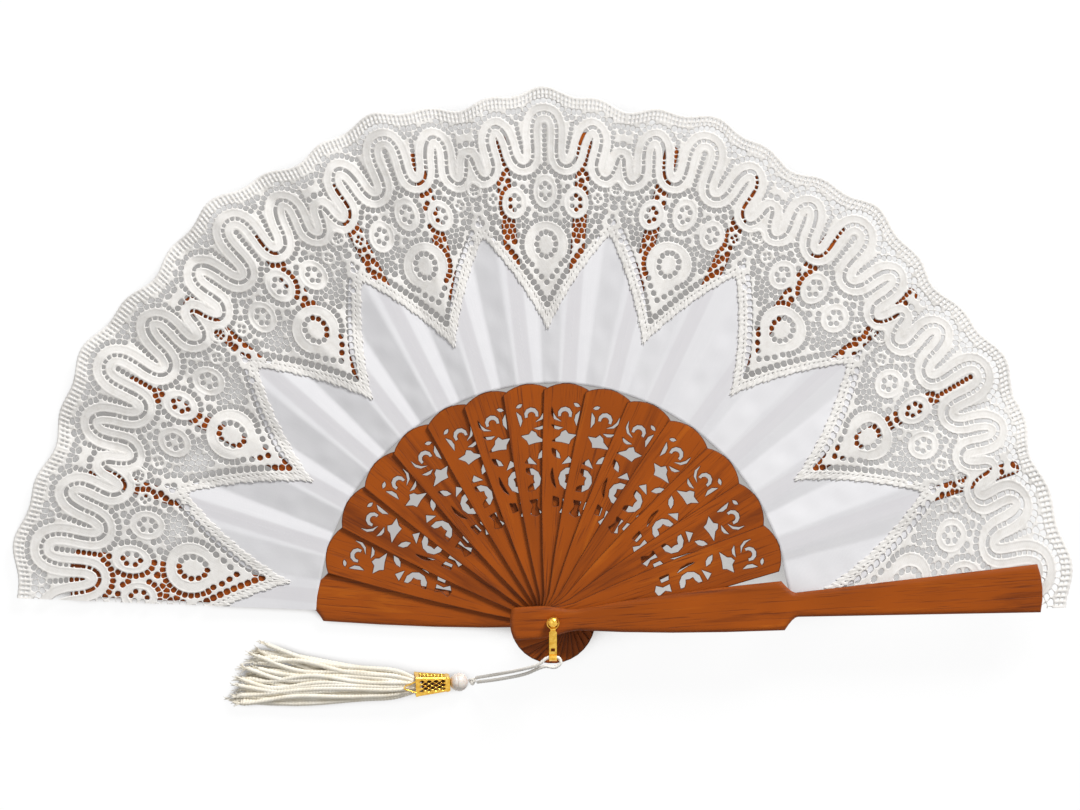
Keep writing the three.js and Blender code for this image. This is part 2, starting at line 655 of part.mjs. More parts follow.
function addLink() {
  const ring = new THREE.TorusGeometry(RING_RADIUS, RING_WIRE, 6, 20);
  ring.translate(0, -RING_HANG, RING_LEVEL);
  addPiece(fan, "link_ring", ring, BRASS);

  // Drawn in Y and Z, then run along X.
  const run = (shape, width) =>
    toSolid(
      extrude(shape, width)
        .translate(0, 0, -width / 2)
        .applyMatrix4(new THREE.Matrix4().makeBasis(
          new THREE.Vector3(0, 1, 0),
          new THREE.Vector3(0, 0, 1),
          new THREE.Vector3(1, 0, 0),
        )),
    );
  const disc = (y, z, radius) => new THREE.Shape().absarc(y, z, radius, 0, 2 * Math.PI, false);
  const bottom = RING_LEVEL - RING_EYE - STRAP_WALL;
  const core = new THREE.Shape();
  core.moveTo(CORD_EYE_AT, bottom);
  core.lineTo(RING_EYE_AT, bottom);
  core.lineTo(RING_EYE_AT, bottom + STRAP_CORE);
  core.lineTo(CORD_EYE_AT, bottom + STRAP_CORE);
  const slotAt = CORD_EYE_AT + CORD_EYE + STRAP_WALL + STRAP_SLOT_LENGTH;
  const slot = box(
    -STRAP_SLOT_WIDTH / 2,
    STRAP_SLOT_WIDTH / 2,
    slotAt,
    slotAt + STRAP_SLOT_LENGTH,
    0,
    2 * RING_LEVEL,
  );
  const narrow = run(disc(RING_EYE_AT, RING_LEVEL, RING_EYE + STRAP_WALL), STRAP_TOP_WIDTH);
  const wide = run(disc(CORD_EYE_AT, CORD_EYE_LEVEL, CORD_EYE + STRAP_WALL), STRAP_WIDTH);
  const chamfer = (STRAP_WIDTH - STRAP_TOP_WIDTH) / 2;
  const plan = new THREE.Shape();
  plan.moveTo(-STRAP_WIDTH / 2, CORD_EYE_AT);
  plan.lineTo(STRAP_WIDTH / 2, CORD_EYE_AT);
  plan.lineTo(STRAP_WIDTH / 2, RING_EYE_AT - RING_EYE - STRAP_WALL - chamfer);
  plan.lineTo(STRAP_TOP_WIDTH / 2, RING_EYE_AT - RING_EYE - STRAP_WALL);
  plan.lineTo(STRAP_TOP_WIDTH / 2, RING_EYE_AT);
  plan.lineTo(-STRAP_TOP_WIDTH / 2, RING_EYE_AT);
  plan.lineTo(-STRAP_TOP_WIDTH / 2, RING_EYE_AT - RING_EYE - STRAP_WALL);
  plan.lineTo(-STRAP_WIDTH / 2, RING_EYE_AT - RING_EYE - STRAP_WALL - chamfer);
  const bar = run(core, STRAP_WIDTH).intersect(toSolid(extrude(plan, 2 * RING_LEVEL)));
  const strap = bar
    .add(narrow)
    .add(wide)
    .subtract(run(disc(RING_EYE_AT, RING_LEVEL, RING_EYE), 2 * STRAP_WIDTH))
    .subtract(run(disc(CORD_EYE_AT, CORD_EYE_LEVEL, CORD_EYE), 2 * STRAP_WIDTH))
    .subtract(toSolid(slot));
  addPiece(fan, "link_strap", toGeometry(strap), BRASS);
}

// Tassel. It lies on the surface under the fan, to the left of the strap.
const BEAD_AT = new THREE.Vector3(-40.9, -27.4, BEAD_RADIUS + TABLE_GAP);
const KNOT_TO_BEAD = KNOT_RADIUS + BEAD_RADIUS + HARDWARE_GAP;
const KNOT_AT = BEAD_AT.clone().add(new THREE.Vector3(0.985, 0.07, 0.157).multiplyScalar(KNOT_TO_BEAD));
const CAP_WAY = new THREE.Vector3(-0.9935, -0.046, 0.105).normalize();
const CAP_AT = BEAD_AT.clone().addScaledVector(CAP_WAY, BEAD_RADIUS + HARDWARE_GAP);

// The cord's middle line, from the knot through the strap's eye and back to the knot.
function cordRoute() {
  const out = STRAP_WIDTH / 2 + CORD_RADIUS;
  const eye = (x) => new THREE.Vector3(x, CORD_EYE_AT, CORD_EYE_LEVEL);
  const away = new THREE.Vector3(0.96, 0.28, 0).normalize();
  const across = new THREE.Vector3(-0.28, 0.96, 0).normalize();
  const leave = (side) =>
    KNOT_AT.clone()
      .addScaledVector(away, Math.sqrt(KNOT_RADIUS ** 2 - 1) + HARDWARE_GAP + CORD_RADIUS / 2)
      .addScaledVector(across, side);
  const clear = HEAD_REACH + CORD_RADIUS + HARDWARE_GAP;
  const edge = (degrees, level) => {
    const a = degrees * RAD;
    return new THREE.Vector3(-clear * Math.sin(a), -clear * Math.cos(a), CORD_EYE_LEVEL - level);
  };
  return [
    leave(1),
    new THREE.Vector3(-24, -23.5, 12.5),
    new THREE.Vector3(-12.5, -20.6, CORD_EYE_LEVEL - 4.2),
    edge(19, 0.4),
    eye(-out),
    eye(0),
    eye(out),
    new THREE.Vector3(out + 0.9, (CORD_EYE_AT - clear) / 2, CORD_EYE_LEVEL),
    edge(-3, 0),
    edge(10, 0.7),
    new THREE.Vector3(-12, -22.8, CORD_EYE_LEVEL - 5.2),
    new THREE.Vector3(-24, -25.8, 12.5),
    leave(-1),
  ];
}

// A closed skin over rings of equal point counts. Its first and last ring are one ring, or each
// is closed with a flat face.
function loft(rings, ends = true) {
  const count = rings[0].length;
  const positions = rings.flat().flatMap((p) => [p.x, p.y, p.z]);
  const faces = [];
  for (let i = 0; i + 1 < rings.length; i++) {
    for (let j = 0; j < count; j++) {
      const a = i * count + j;
      const b = i * count + ((j + 1) % count);
      faces.push(a, b, b + count, a, b + count, a + count);
    }
  }
  const endFace = (ring, flip) => {
    const middle = positions.length / 3;
    const centre = rings[ring].reduce((sum, p) => sum.add(p), new THREE.Vector3());
    centre.divideScalar(count);
    positions.push(centre.x, centre.y, centre.z);
    for (let j = 0; j < count; j++) {
      const a = ring * count + j;
      const b = ring * count + ((j + 1) % count);
      faces.push(middle, flip ? b : a, flip ? a : b);
    }
  };
  if (ends) {
    endFace(0, true);
    endFace(rings.length - 1, false);
  }
  const geometry = new THREE.BufferGeometry();
  geometry.setAttribute("position", new THREE.Float32BufferAttribute(positions, 3));
  geometry.setIndex(faces);
  return mergeVertices(geometry, 1e-4);
}

// The skirt: a round bundle in the cap that opens into a flat, folded fan of strands.
function skirtGeometry() {
  const mouth = CAP_AT.clone().addScaledVector(CAP_WAY, CAP_LENGTH);
  const inside = CAP_LENGTH * 0.7;
  const stations = [-inside, 0, 0.12, 0.35, 0.65, 0.92, 1];
  const points = 2 * SKIRT_FOLDS + 2;
  const rings = stations.map((f, row) => {
    const within = row < 2;
    const along = within ? f : f * SKIRT_LENGTH;
    const bundle = CAP_MOUTH - CAP_WALL - HARDWARE_GAP;
    const taper = row === 0 ? 0.72 : 1;
    const open = within ? 0 : Math.min(1, f * 1.15);
    const wide = bundle * taper + (SKIRT_SPREAD - bundle) * open;
    const deep = bundle * taper + (SKIRT_DEPTH - bundle) * Math.sqrt(open);
    const axis = mouth.clone().addScaledVector(CAP_WAY, along);
    const level = within ? axis.z : deep * 1.12 + TABLE_GAP;
    const drift = within ? 0 : 7.5 * f * f;
    return Array.from({ length: points }, (_, i) => {
      const a = (2 * Math.PI * i) / points;
      const ruffle = within ? 1 : 1 + 0.1 * (i % 2 ? -1 : 1);
      return new THREE.Vector3(
        axis.x,
        axis.y + drift - wide * Math.cos(a) * ruffle,
        level + deep * Math.sin(a) * ruffle,
      );
    });
  });
  return loft(rings);
}

// The cap: a hollow square tube that widens to its open end, with a bore for the cord.
function capGeometry() {
  const side = new THREE.Vector3().crossVectors(CAP_WAY, new THREE.Vector3(0, 0, 1)).normalize();
  const rise = new THREE.Vector3().crossVectors(side, CAP_WAY);
  const square = (along, half) =>
    Array.from({ length: 8 }, (_, i) => {
      const a = (Math.PI * i) / 4 + CAP_TURN;
      const reach = i % 2 ? half * Math.SQRT2 - CAP_CORNER : half;
      return CAP_AT.clone()
        .addScaledVector(CAP_WAY, along)
        .addScaledVector(side, reach * Math.cos(a))
        .addScaledVector(rise, reach * Math.sin(a));
    });
  const rings = [
    square(CAP_WALL, CAP_BORE),
    square(0, CAP_BORE),
    square(0, CAP_TOP),
    square(CAP_LENGTH, CAP_MOUTH),
    square(CAP_LENGTH, CAP_MOUTH - CAP_WALL),
    square(CAP_WALL, CAP_TOP - CAP_WALL),
  ];
  return loft([...rings, rings[0]].reverse(), false);
}

function addTassel() {
  const section = new THREE.Shape().absarc(0, 0, CORD_RADIUS, 0, 2 * Math.PI, false);
  const cord = new THREE.ExtrudeGeometry(section, {
    extrudePath: new THREE.CatmullRomCurve3(cordRoute(), false, "centripetal"),
    steps: 46,
    curveSegments: 4,
  });
  addPiece(fan, "tassel_cord", cord, CREAM);
  const knot = addPiece(fan, "tassel_knot", new THREE.SphereGeometry(KNOT_RADIUS, 9, 6), CREAM);
  knot.position.copy(KNOT_AT);
  const bead = addPiece(fan, "tassel_bead", new THREE.SphereGeometry(BEAD_RADIUS, 14, 10), CREAM);
  bead.position.copy(BEAD_AT);

  addPiece(fan, "tassel_cap", capGeometry(), BRASS);
  addPiece(fan, "tassel_skirt", skirtGeometry(), CREAM);
}

addSticks();
addRivet();
addLeaf();
addLink();
addTassel();

export default fan;
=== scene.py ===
# %% [markdown]
# # A folding fan with a lace leaf
# The fan's pierced sticks, guards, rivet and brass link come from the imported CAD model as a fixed
# frame. This script gives them their finish, and makes the parts that are cloth, lace and thread.
# All lengths are in metres unless a name says mm.

import math

import bmesh
import bpy
import numpy as np

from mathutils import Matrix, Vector


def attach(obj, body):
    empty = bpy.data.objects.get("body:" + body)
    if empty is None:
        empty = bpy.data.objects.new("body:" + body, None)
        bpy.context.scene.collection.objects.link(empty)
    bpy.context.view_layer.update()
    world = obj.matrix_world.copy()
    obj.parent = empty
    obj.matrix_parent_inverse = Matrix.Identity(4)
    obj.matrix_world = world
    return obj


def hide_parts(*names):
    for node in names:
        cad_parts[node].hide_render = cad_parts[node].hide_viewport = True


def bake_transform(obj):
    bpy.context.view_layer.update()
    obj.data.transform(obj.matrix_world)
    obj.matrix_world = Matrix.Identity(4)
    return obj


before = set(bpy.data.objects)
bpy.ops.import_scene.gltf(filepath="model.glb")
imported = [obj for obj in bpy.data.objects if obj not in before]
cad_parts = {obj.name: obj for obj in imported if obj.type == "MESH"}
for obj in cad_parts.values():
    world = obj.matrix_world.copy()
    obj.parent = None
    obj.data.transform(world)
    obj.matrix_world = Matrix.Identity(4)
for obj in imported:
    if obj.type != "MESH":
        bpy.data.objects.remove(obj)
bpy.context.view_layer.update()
MM = 0.001

# %% [markdown]
# ## Camera
# The fan lies on a table and is seen from straight above. A long lens from far away keeps the
# sticks, which lie on each other in a low stack, at nearly one scale.

# %% Camera
PIXELS_ACROSS, MM_PER_PIXEL = 1080, 0.434  # the photograph's width, and its scale at the fan's height
PICTURE_WIDTH = PIXELS_ACROSS * MM_PER_PIXEL * MM
CAMERA_AWAY = 2.0
AIM = np.array([-5.6, 93.3, 12.0]) * MM
camera_data = bpy.data.cameras.new("camera")
camera_data.lens = camera_data.sensor_width * CAMERA_AWAY / PICTURE_WIDTH
camera_data.clip_end = 20
camera = bpy.data.objects.new("camera", camera_data)
camera.location = AIM + [0, 0, CAMERA_AWAY]
bpy.context.scene.collection.objects.link(camera)
bpy.context.scene.camera = camera
print("lens", round(camera_data.lens, 1), "mm")

# %% [markdown]
# ## Node materials in a few words
# A material is a net of nodes, and most of its lines only make a node and link it. These helpers
# say that once: a node with its inputs, a colour ramp, a sum, a mix, a noise, a wave and a bump,
# each in one call.

# %% Helpers for materials
scene = bpy.context.scene
scene.view_settings.view_transform = "Standard"


def new_material(name):
    """A node material and its main shader."""
    material = bpy.data.materials.new(name)
    material.use_nodes = True
    return material, material.node_tree.nodes["Principled BSDF"]


def feed(material, node, inputs):
    """Gives a node its inputs, each a value or another node's output."""
    for key, value in dict(inputs).items():
        if isinstance(value, bpy.types.NodeSocket):
            material.node_tree.links.new(value, node.inputs[key])
        else:
            node.inputs[key].default_value = value


def add_node(material, kind, inputs=(), **settings):
    """A node with its settings and its inputs. Blender's name for its kind starts with ShaderNode."""
    node = material.node_tree.nodes.new("ShaderNode" + kind)
    for key, value in settings.items():
        setattr(node, key, value)
    feed(material, node, inputs)
    return node


def srgb(red, green, blue):
    """A colour given as a screen shows it, 0 to 255, in the linear values that a shader takes."""
    c = np.array([red, green, blue]) / 255
    return (*np.where(c <= 0.04045, c / 12.92, ((c + 0.055) / 1.055) ** 2.4), 1.0)


def grey(level):
    """A grey in linear values."""
    return (level, level, level, 1)


def colour_steps(material, factor, steps):
    """A colour ramp from pairs of place and colour."""
    ramp = add_node(material, "ValToRGB", {"Fac": factor})
    while len(ramp.color_ramp.elements) < len(steps):
        ramp.color_ramp.elements.new(0.5)
    for element, (place, colour) in zip(ramp.color_ramp.elements, steps):
        element.position, element.color = place, colour
    return ramp.outputs["Color"]


def math_node(material, operation, first, second=0.0, third=0.0):
    """One sum, product or other operation on numbers."""
    values = {0: first, 1: second, 2: third}
    return add_node(material, "Math", values, operation=operation).outputs[0]


def mixed(material, factor, first, second, kind="MIX"):
    """The first colour with the second over it, by the factor."""
    values = {0: factor, 6: first, 7: second}
    return add_node(material, "Mix", values, data_type="RGBA", blend_type=kind).outputs[2]


def noise(material, place, scale, detail=4.0, rough=0.55, warp=0.0):
    """Noise, as a number about 0.5."""
    values = {"Vector": place, "Scale": scale, "Detail": detail, "Roughness": rough, "Distortion": warp}
    return add_node(material, "TexNoise", values).outputs["Fac"]


def wave(material, along, pitch):
    """A sine that comes back after each pitch."""
    return math_node(material, "SINE", math_node(material, "MULTIPLY", along, 2 * math.pi / pitch))


def set_bump(material, shader, height, distance, strength=1.0, normal=None):
    """The shader's normal from a height pattern: distance is how high 1 is, in metres."""
    values = {"Height": height, "Distance": distance, "Strength": strength}
    if normal:
        values["Normal"] = normal
    feed(material, shader, {"Normal": add_node(material, "Bump", values).outputs[0]})


print("middle grey is", [round(c, 3) for c in srgb(128, 128, 128)[:3]])

# %% [markdown]
# ## Table
# The fan lies on a plain white table, lit until it shows full white. To the camera the table
# glows by itself, and an ambient occlusion node, which measures how much of the sky a place sees,
# takes light away under the fan. That gives the soft grey in every hole of the lace without any
# grain. Only a small share is left to the lamps, for the shadow's direction.

# %% Table
TABLE_HALF = 3.0
TABLE_LEVEL = -0.05 * MM
TABLE_GREY = 0.6  # what it throws back on to the fan
LAMP_SHARE = 0.08  # the share of its white that the lamps light
SHADE_REACH = 40 * MM
SHADE_LEAF, SHADE_STICKS = 0.32, 0.52  # the white that is left under the leaf and under the sticks
SHADE_TINT = (1.0, 0.955, 0.92, 1)
STICKS_REACH = (95 * MM, 115 * MM)  # from the rivet: where the one shade passes into the other
SHADED, OPEN = 0.33, 0.68  # shares of the sky that count as fully shaded and as open
FULL_WHITE = 1.02
table_mesh = bpy.data.meshes.new("table")
square = np.array([(-1, -1, 0), (1, -1, 0), (1, 1, 0), (-1, 1, 0)])
table_mesh.from_pydata((square * TABLE_HALF + [0, 0, TABLE_LEVEL]).tolist(), [], [(0, 1, 2, 3)])
table = bpy.data.objects.new("table", table_mesh)
scene.collection.objects.link(table)

table_paint, shader = new_material("table_paint")
feed(table_paint, shader, {"Base Color": grey(TABLE_GREY), "Roughness": 0.9})
rays = add_node(table_paint, "LightPath")
seen = math_node(table_paint, "MAXIMUM", rays.outputs["Is Camera Ray"], rays.outputs["Is Glossy Ray"])
place = add_node(table_paint, "TexCoord").outputs["Object"]
from_rivet = add_node(table_paint, "VectorMath", {0: place}, operation="LENGTH").outputs["Value"]
least = add_node(
    table_paint, "MapRange",
    {"Value": from_rivet, "From Min": STICKS_REACH[0], "From Max": STICKS_REACH[1],
     "To Min": SHADE_STICKS, "To Max": SHADE_LEAF},
).outputs[0]
around = add_node(table_paint, "AmbientOcclusion", {"Distance": SHADE_REACH}, samples=16)
white = add_node(
    table_paint, "MapRange",
    {"Value": around.outputs["AO"], "From Min": SHADED, "From Max": OPEN, "To Min": least, "To Max": 1.0},
    interpolation_type="SMOOTHSTEP",
).outputs[0]
tint = mixed(table_paint, white, SHADE_TINT, grey(1))
tint = mixed(table_paint, 1.0, tint, white, "MULTIPLY")
glow = add_node(table_paint, "Emission", {"Color": tint, "Strength": FULL_WHITE - LAMP_SHARE})
lamplit = add_node(table_paint, "BsdfDiffuse", {"Color": grey(LAMP_SHARE)})
lit = add_node(table_paint, "AddShader", {0: lamplit.outputs[0], 1: glow.outputs[0]})
shown = add_node(table_paint, "MixShader", {0: seen, 1: shader.outputs[0], 2: lit.outputs[0]})
feed(table_paint, table_paint.node_tree.nodes["Material Output"], {"Surface": shown.outputs[0]})
table_mesh.materials.append(table_paint)
print("table", 2 * TABLE_HALF, "m wide")

# %% [markdown]
# ## Lamps and sky
# A broad lamp stands low beyond the fan's top, a little to the right. A low light is what shows
# pleats: a panel that leans towards it is pale, and one that leans away is grey. A faint lamp
# from the left and a pale sky fill the shadows. Metal mirrors a brighter room than that sky, so
# the sky has a second look for mirrored rays alone.

# %% Lamps and sky
# Each lamp: degrees clockwise from straight up in the picture, degrees above the table, distance,
# size and power.
LAMPS = {"key": (30, 34, 3.5, 1.1, 135.0), "fill": (-110, 55, 3.0, 1.6, 8.0)}
SKY_STRENGTH = 0.3
# What metal mirrors: the brightness of the room from the table's level, 0, to straight above, 1.
ROOM = [(0, 0.25), (0.2, 1.0), (0.8, 1.0), (1, 0.85)]
for name, (bearing, height, distance, size, power) in LAMPS.items():
    turn, rise = math.radians(bearing), math.radians(height)
    away = Vector((math.sin(turn) * math.cos(rise), math.cos(turn) * math.cos(rise), math.sin(rise)))
    lamp = bpy.data.lights.new(name, "AREA")
    lamp.size, lamp.energy = size, power
    holder = bpy.data.objects.new(name, lamp)
    holder.location = Vector(AIM) + away * distance
    holder.rotation_mode = "QUATERNION"
    holder.rotation_quaternion = away.to_track_quat("Z", "Y")
    scene.collection.objects.link(holder)
sky = bpy.data.worlds.new("sky")
scene.world = sky
sky.use_nodes = True
mirrored = add_node(sky, "LightPath").outputs["Is Glossy Ray"]
way = add_node(sky, "TexCoord").outputs["Generated"]
height = add_node(sky, "SeparateXYZ", {0: way}).outputs["Z"]
room = colour_steps(sky, height, [(place, grey(level)) for place, level in ROOM])
feed(sky, sky.node_tree.nodes["Background"], {"Color": mixed(sky, mirrored, grey(SKY_STRENGTH), room)})
print("lamps", list(LAMPS))

# %% [markdown]
# ## Wood
# The sticks and guards are sawn from reddish hardwood, sanded, and rubbed to a soft gloss. The
# grain runs along each stick, so every stick has its own material, whose pattern a Mapping node
# turns to the stick's angle. Fine stretched noise makes the pores, and a broader one the darker
# and lighter streaks. The openings are cut hot, which leaves their walls dark brown: a wall is
# found by its normal, which lies level. A Bevel node rounds every edge for the light, and where
# the rounded normal leaves the true one, painted shade darkens the wood towards that brown.

# %% Wood
FRONT = 15  # the front guard's number; the back guard is 0 and the pierced sticks are 1 to 14
# Degrees clockwise from straight up: the back guard, the mean step from stick to stick, how far
# the sticks crowd towards the middle, and the front guard.
BACK_ANGLE, STEP_ANGLE, CROWDING, FRONT_ANGLE = -84.4, 11.14, 2.1, 86.1
STICK_ANGLES = BACK_ANGLE + STEP_ANGLE * np.arange(FRONT + 1)
STICK_ANGLES = STICK_ANGLES + CROWDING * np.sin(2 * np.pi * np.arange(FRONT + 1) / (FRONT - 1))
STICK_ANGLES[FRONT] = FRONT_ANGLE
STICK_NAMES = ["guard_back", *(f"stick_{k:02d}" for k in range(1, FRONT)), "guard_front"]
WOOD_DARK, WOOD_MIDDLE, WOOD_PALE = srgb(104, 44, 6), srgb(160, 76, 9), srgb(192, 102, 20)
# The last colour is the burnt brown of the openings' walls, and also the painted shade at every edge.
WOOD_PORE, WOOD_BURNT_AND_EDGE_SHADE = srgb(84, 34, 8), srgb(58, 26, 11)
GUARD_EDGE, STICK_EDGE = (3.0 * MM, 0.2), (0.9 * MM, 0.9)  # rounding, and how far painted shade darkens the edges
EDGE_SHARPNESS = 12.0
BOARD_SHIFT = (0.37, 0.61, 0.13)  # metres from one board's pattern to the next
LEVEL_NORMAL = 0.25  # a face whose normal rises less than this is a wall


def wood_material(name, angle, board, rounding, edge_shade):
    """Wood with its grain turned to the stick's angle and its edges eased by the rounding. board
    moves the pattern, so no two sticks match. An edge shows where the eased normal leaves the
    true one, and edge_shade is how far painted shade darkens it there."""
    material, shader = new_material(name)
    where = add_node(material, "TexCoord")
    place = {
        "Vector": where.outputs["Object"], "Rotation": (0, 0, math.radians(angle)),
        "Location": [board * shift for shift in BOARD_SHIFT],
    }
    turned = add_node(material, "Mapping", place, vector_type="POINT").outputs[0]
    stretched = add_node(material, "Mapping", {"Vector": turned, "Scale": (1, 0.09, 1)}).outputs[0]
    thin = add_node(material, "Mapping", {"Vector": turned, "Scale": (1, 0.025, 1)}).outputs[0]
    streaks = noise(material, stretched, 130, 5, 0.6, 0.6)
    body = colour_steps(
        material, streaks, [(0.24, WOOD_DARK), (0.46, WOOD_MIDDLE), (0.58, WOOD_MIDDLE), (0.78, WOOD_PALE)]
    )
    pores = math_node(material, "SUBTRACT", noise(material, thin, 1500, 2, 0.7), 0.56)
    pores = math_node(material, "SMOOTH_MIN", math_node(material, "MULTIPLY", pores, 7), 1.0, 0.2)
    pores = math_node(material, "MAXIMUM", pores, 0.0)
    coloured = mixed(material, math_node(material, "MULTIPLY", pores, 0.7), body, WOOD_PORE)
    clouds = noise(material, turned, 28, 2, 0.5)
    shade = colour_steps(material, clouds, [(0.3, (0.86, 0.84, 0.82, 1)), (0.7, (1.1, 1.1, 1.1, 1))])
    coloured = mixed(material, 1.0, coloured, shade, "MULTIPLY")
    upright = add_node(material, "SeparateXYZ", {0: where.outputs["Normal"]}).outputs["Z"]
    wall = math_node(material, "LESS_THAN", math_node(material, "ABSOLUTE", upright), LEVEL_NORMAL)
    coloured = mixed(material, math_node(material, "MULTIPLY", wall, 0.8), coloured, WOOD_BURNT_AND_EDGE_SHADE)
    eased = add_node(material, "Bevel", {"Radius": rounding}, samples=6).outputs[0]
    # Painted shade: where the eased normal leaves the true one, the colour darkens towards the burnt brown.
    true = add_node(material, "NewGeometry").outputs["True Normal"]
    same = add_node(material, "VectorMath", {0: eased, 1: true}, operation="DOT_PRODUCT")
    edge = math_node(material, "SUBTRACT", 1.0, same.outputs["Value"])
    edge = math_node(material, "MULTIPLY", edge, EDGE_SHARPNESS)
    edge = math_node(material, "MULTIPLY", math_node(material, "MINIMUM", edge, 1.0), edge_shade)
    coloured = mixed(material, edge, coloured, WOOD_BURNT_AND_EDGE_SHADE)
    rough = math_node(material, "MULTIPLY_ADD", streaks, -0.2, 0.5)
    rough = math_node(material, "MULTIPLY_ADD", wall, 0.35, rough)
    feed(material, shader, {"Base Color": coloured, "Roughness": rough, "Specular IOR Level": 0.2})
    height = math_node(material, "MULTIPLY_ADD", pores, -0.6, streaks)
    set_bump(material, shader, height, 0.12 * MM, 0.6, eased)
    return material


def dress(node, material):
    """A CAD node's own faces with a new material."""
    piece = bpy.data.objects[node]
    if not piece.material_slots:
        piece.data.materials.append(None)
    for place in piece.material_slots:
        place.material = material
    return piece


for k, name in enumerate(STICK_NAMES):
    rounding, edge_shade = GUARD_EDGE if "guard" in name else STICK_EDGE
    dress(name, wood_material("wood_" + name, STICK_ANGLES[k], k, rounding, edge_shade))
print("wood on", len(STICK_NAMES), "sticks")

# %% [markdown]
# ## Brass
# The rivet, its ring, the folded strap and the tassel's cap are polished brass. Polished metal is
# mostly a mirror, so its colour is nearly all in the reflections. A low noise on roughness and
# height stands for the small dents and the rubbed film that such cheap stamped fittings have.

# %% Brass
BRASS_BRIGHT, BRASS_RUBBED = srgb(246, 200, 92), srgb(224, 168, 60)


def brass_material(name, dents):
    """Polished brass with faint tarnish and dents of the given depth in millimetres."""
    material, shader = new_material(name)
    where = add_node(material, "TexCoord").outputs["Object"]
    film = noise(material, where, 700, 4, 0.6)
    tone = colour_steps(material, film, [(0.35, BRASS_RUBBED), (0.6, BRASS_BRIGHT)])
    rough = math_node(material, "MULTIPLY_ADD", film, 0.25, 0.1)
    feed(material, shader, {"Base Color": tone, "Roughness": rough, "Metallic": 1.0})
    set_bump(material, shader, noise(material, where, 1400, 3, 0.6), dents * MM)
    return material


BRASS = brass_material("brass_polished", 0.03)
for name in ("rivet_back_head", "rivet_pin", "rivet_ball", "link_ring", "link_strap"):
    dress(name, BRASS)
print("brass on the rivet and the link")

# %% [markdown]
# ## Surfaces from arrays
# Every soft piece here is a surface that numpy works out as whole arrays. One helper makes a
# mesh of points and faces as they are. Another cuts a sheet out of a grid: where a number given
# at each grid point is above 0 there is cloth, and the outline runs exactly along 0. That is how
# one function can draw lace. The last ones give such a sheet its two skins, and a round section.

# %% From arrays to a piece
def new_piece(name, points, faces, material, uv=None, hard=None, **marks):
    """A smooth mesh object from points in millimetres and arrays of faces, one array for each
    number of corners. An edge between two hard points isn't smoothed over."""
    mesh = bpy.data.meshes.new(name)
    corners = np.concatenate([f.ravel() for f in faces]).astype(np.int32)
    sizes = np.concatenate([np.full(len(f), f.shape[1]) for f in faces])
    mesh.vertices.add(len(points))
    mesh.vertices.foreach_set("co", (np.asarray(points) * MM).ravel())
    mesh.loops.add(len(corners))
    mesh.loops.foreach_set("vertex_index", corners)
    mesh.polygons.add(len(sizes))
    mesh.polygons.foreach_set("loop_start", np.cumsum(sizes) - sizes)
    mesh.polygons.foreach_set("use_smooth", np.ones(len(sizes), bool))
    mesh.update(calc_edges=True)
    if uv is not None:
        mesh.uv_layers.new(name="laid_flat").data.foreach_set("uv", np.asarray(uv)[corners].ravel())
    for mark, values in marks.items():
        mesh.attributes.new(mark, "FLOAT", "POINT").data.foreach_set("value", values.astype(np.float32))
    if hard is not None:
        ends = np.empty(2 * len(mesh.edges), np.int32)
        mesh.edges.foreach_get("vertices", ends)
        sharp = mesh.attributes.new("sharp_edge", "BOOLEAN", "EDGE")
        sharp.data.foreach_set("value", hard[ends.reshape(-1, 2)].all(1))
    mesh.materials.append(material)
    piece = bpy.data.objects.new(name, mesh)
    scene.collection.objects.link(piece)
    return piece


def cut_from_grid(field):
    """The part of a grid where the field is above 0.

    Each square of the grid is walked round once: a corner is kept where the field is above 0, and
    between a kept corner and one that isn't, a point is set where a straight line between their
    two values crosses 0. Returns the points as row and column numbers with fractions, which of
    them lie on the outline, and the faces."""
    rows, columns = field.shape
    inside = field > 0
    ids = np.full((3, rows, columns), -1)
    total = np.count_nonzero(inside)
    ids[0][inside] = np.arange(total)
    points = [np.argwhere(inside).astype(float)]
    for way, (down, right) in enumerate(((0, 1), (1, 0)), 1):
        a, b = field[: rows - down, : columns - right], field[down:, right:]
        crossed = (a > 0) != (b > 0)
        at = np.argwhere(crossed).astype(float)
        share = a[crossed] / (a[crossed] - b[crossed])
        points.append(at + np.stack([down * share, right * share], -1))
        ids[way][: rows - down, : columns - right][crossed] = total + np.arange(len(at))
        total += len(at)
    corner, along, up = ids
    walk = np.stack([
        corner[:-1, :-1], along[:-1, :-1], corner[:-1, 1:], up[:-1, 1:],
        corner[1:, 1:], along[1:, :-1], corner[1:, :-1], up[:-1, :-1],
    ], -1).reshape(-1, 8)
    count = (walk >= 0).sum(1)
    faces = [walk[count == n][walk[count == n] >= 0].reshape(-1, n) for n in range(3, 7)]
    points = np.vstack(points)
    return points, np.arange(len(points)) >= np.count_nonzero(inside), [f for f in faces if len(f)]


def two_skins(points, outline, faces, front, back, last_column=None):
    """A sheet's front and back, which meet in one point all along the outline. Where the grid
    itself ends, at column 0 and at the last column, a narrow wall joins the two skins."""
    behind = np.where(outline, np.arange(len(points)), len(points) + np.cumsum(~outline) - 1)
    skins = [*faces, *(behind[f][:, ::-1] for f in faces)]
    for column, way in ((0, 1), (last_column, -1)):
        if last_column is None:
            continue
        rim = np.flatnonzero(points[:, 1] == column)
        rim = rim[np.argsort(points[rim, 0])]
        p, q = (rim[:-1], rim[1:])[::way]
        both, first, second = ~outline[p] & ~outline[q], ~outline[p] & outline[q], outline[p] & ~outline[q]
        skins += [
            np.stack([p, q, behind[q], behind[p]], -1)[both],
            np.stack([p, q, behind[p]], -1)[first],
            np.stack([p, q, behind[q]], -1)[second],
        ]
    return np.vstack([front, back[~outline]]), skins


def crest(x, at, width):
    """1 where x is at the place, and less with the square of its distance over the width."""
    return np.exp(-(((x - at) / width) ** 2))


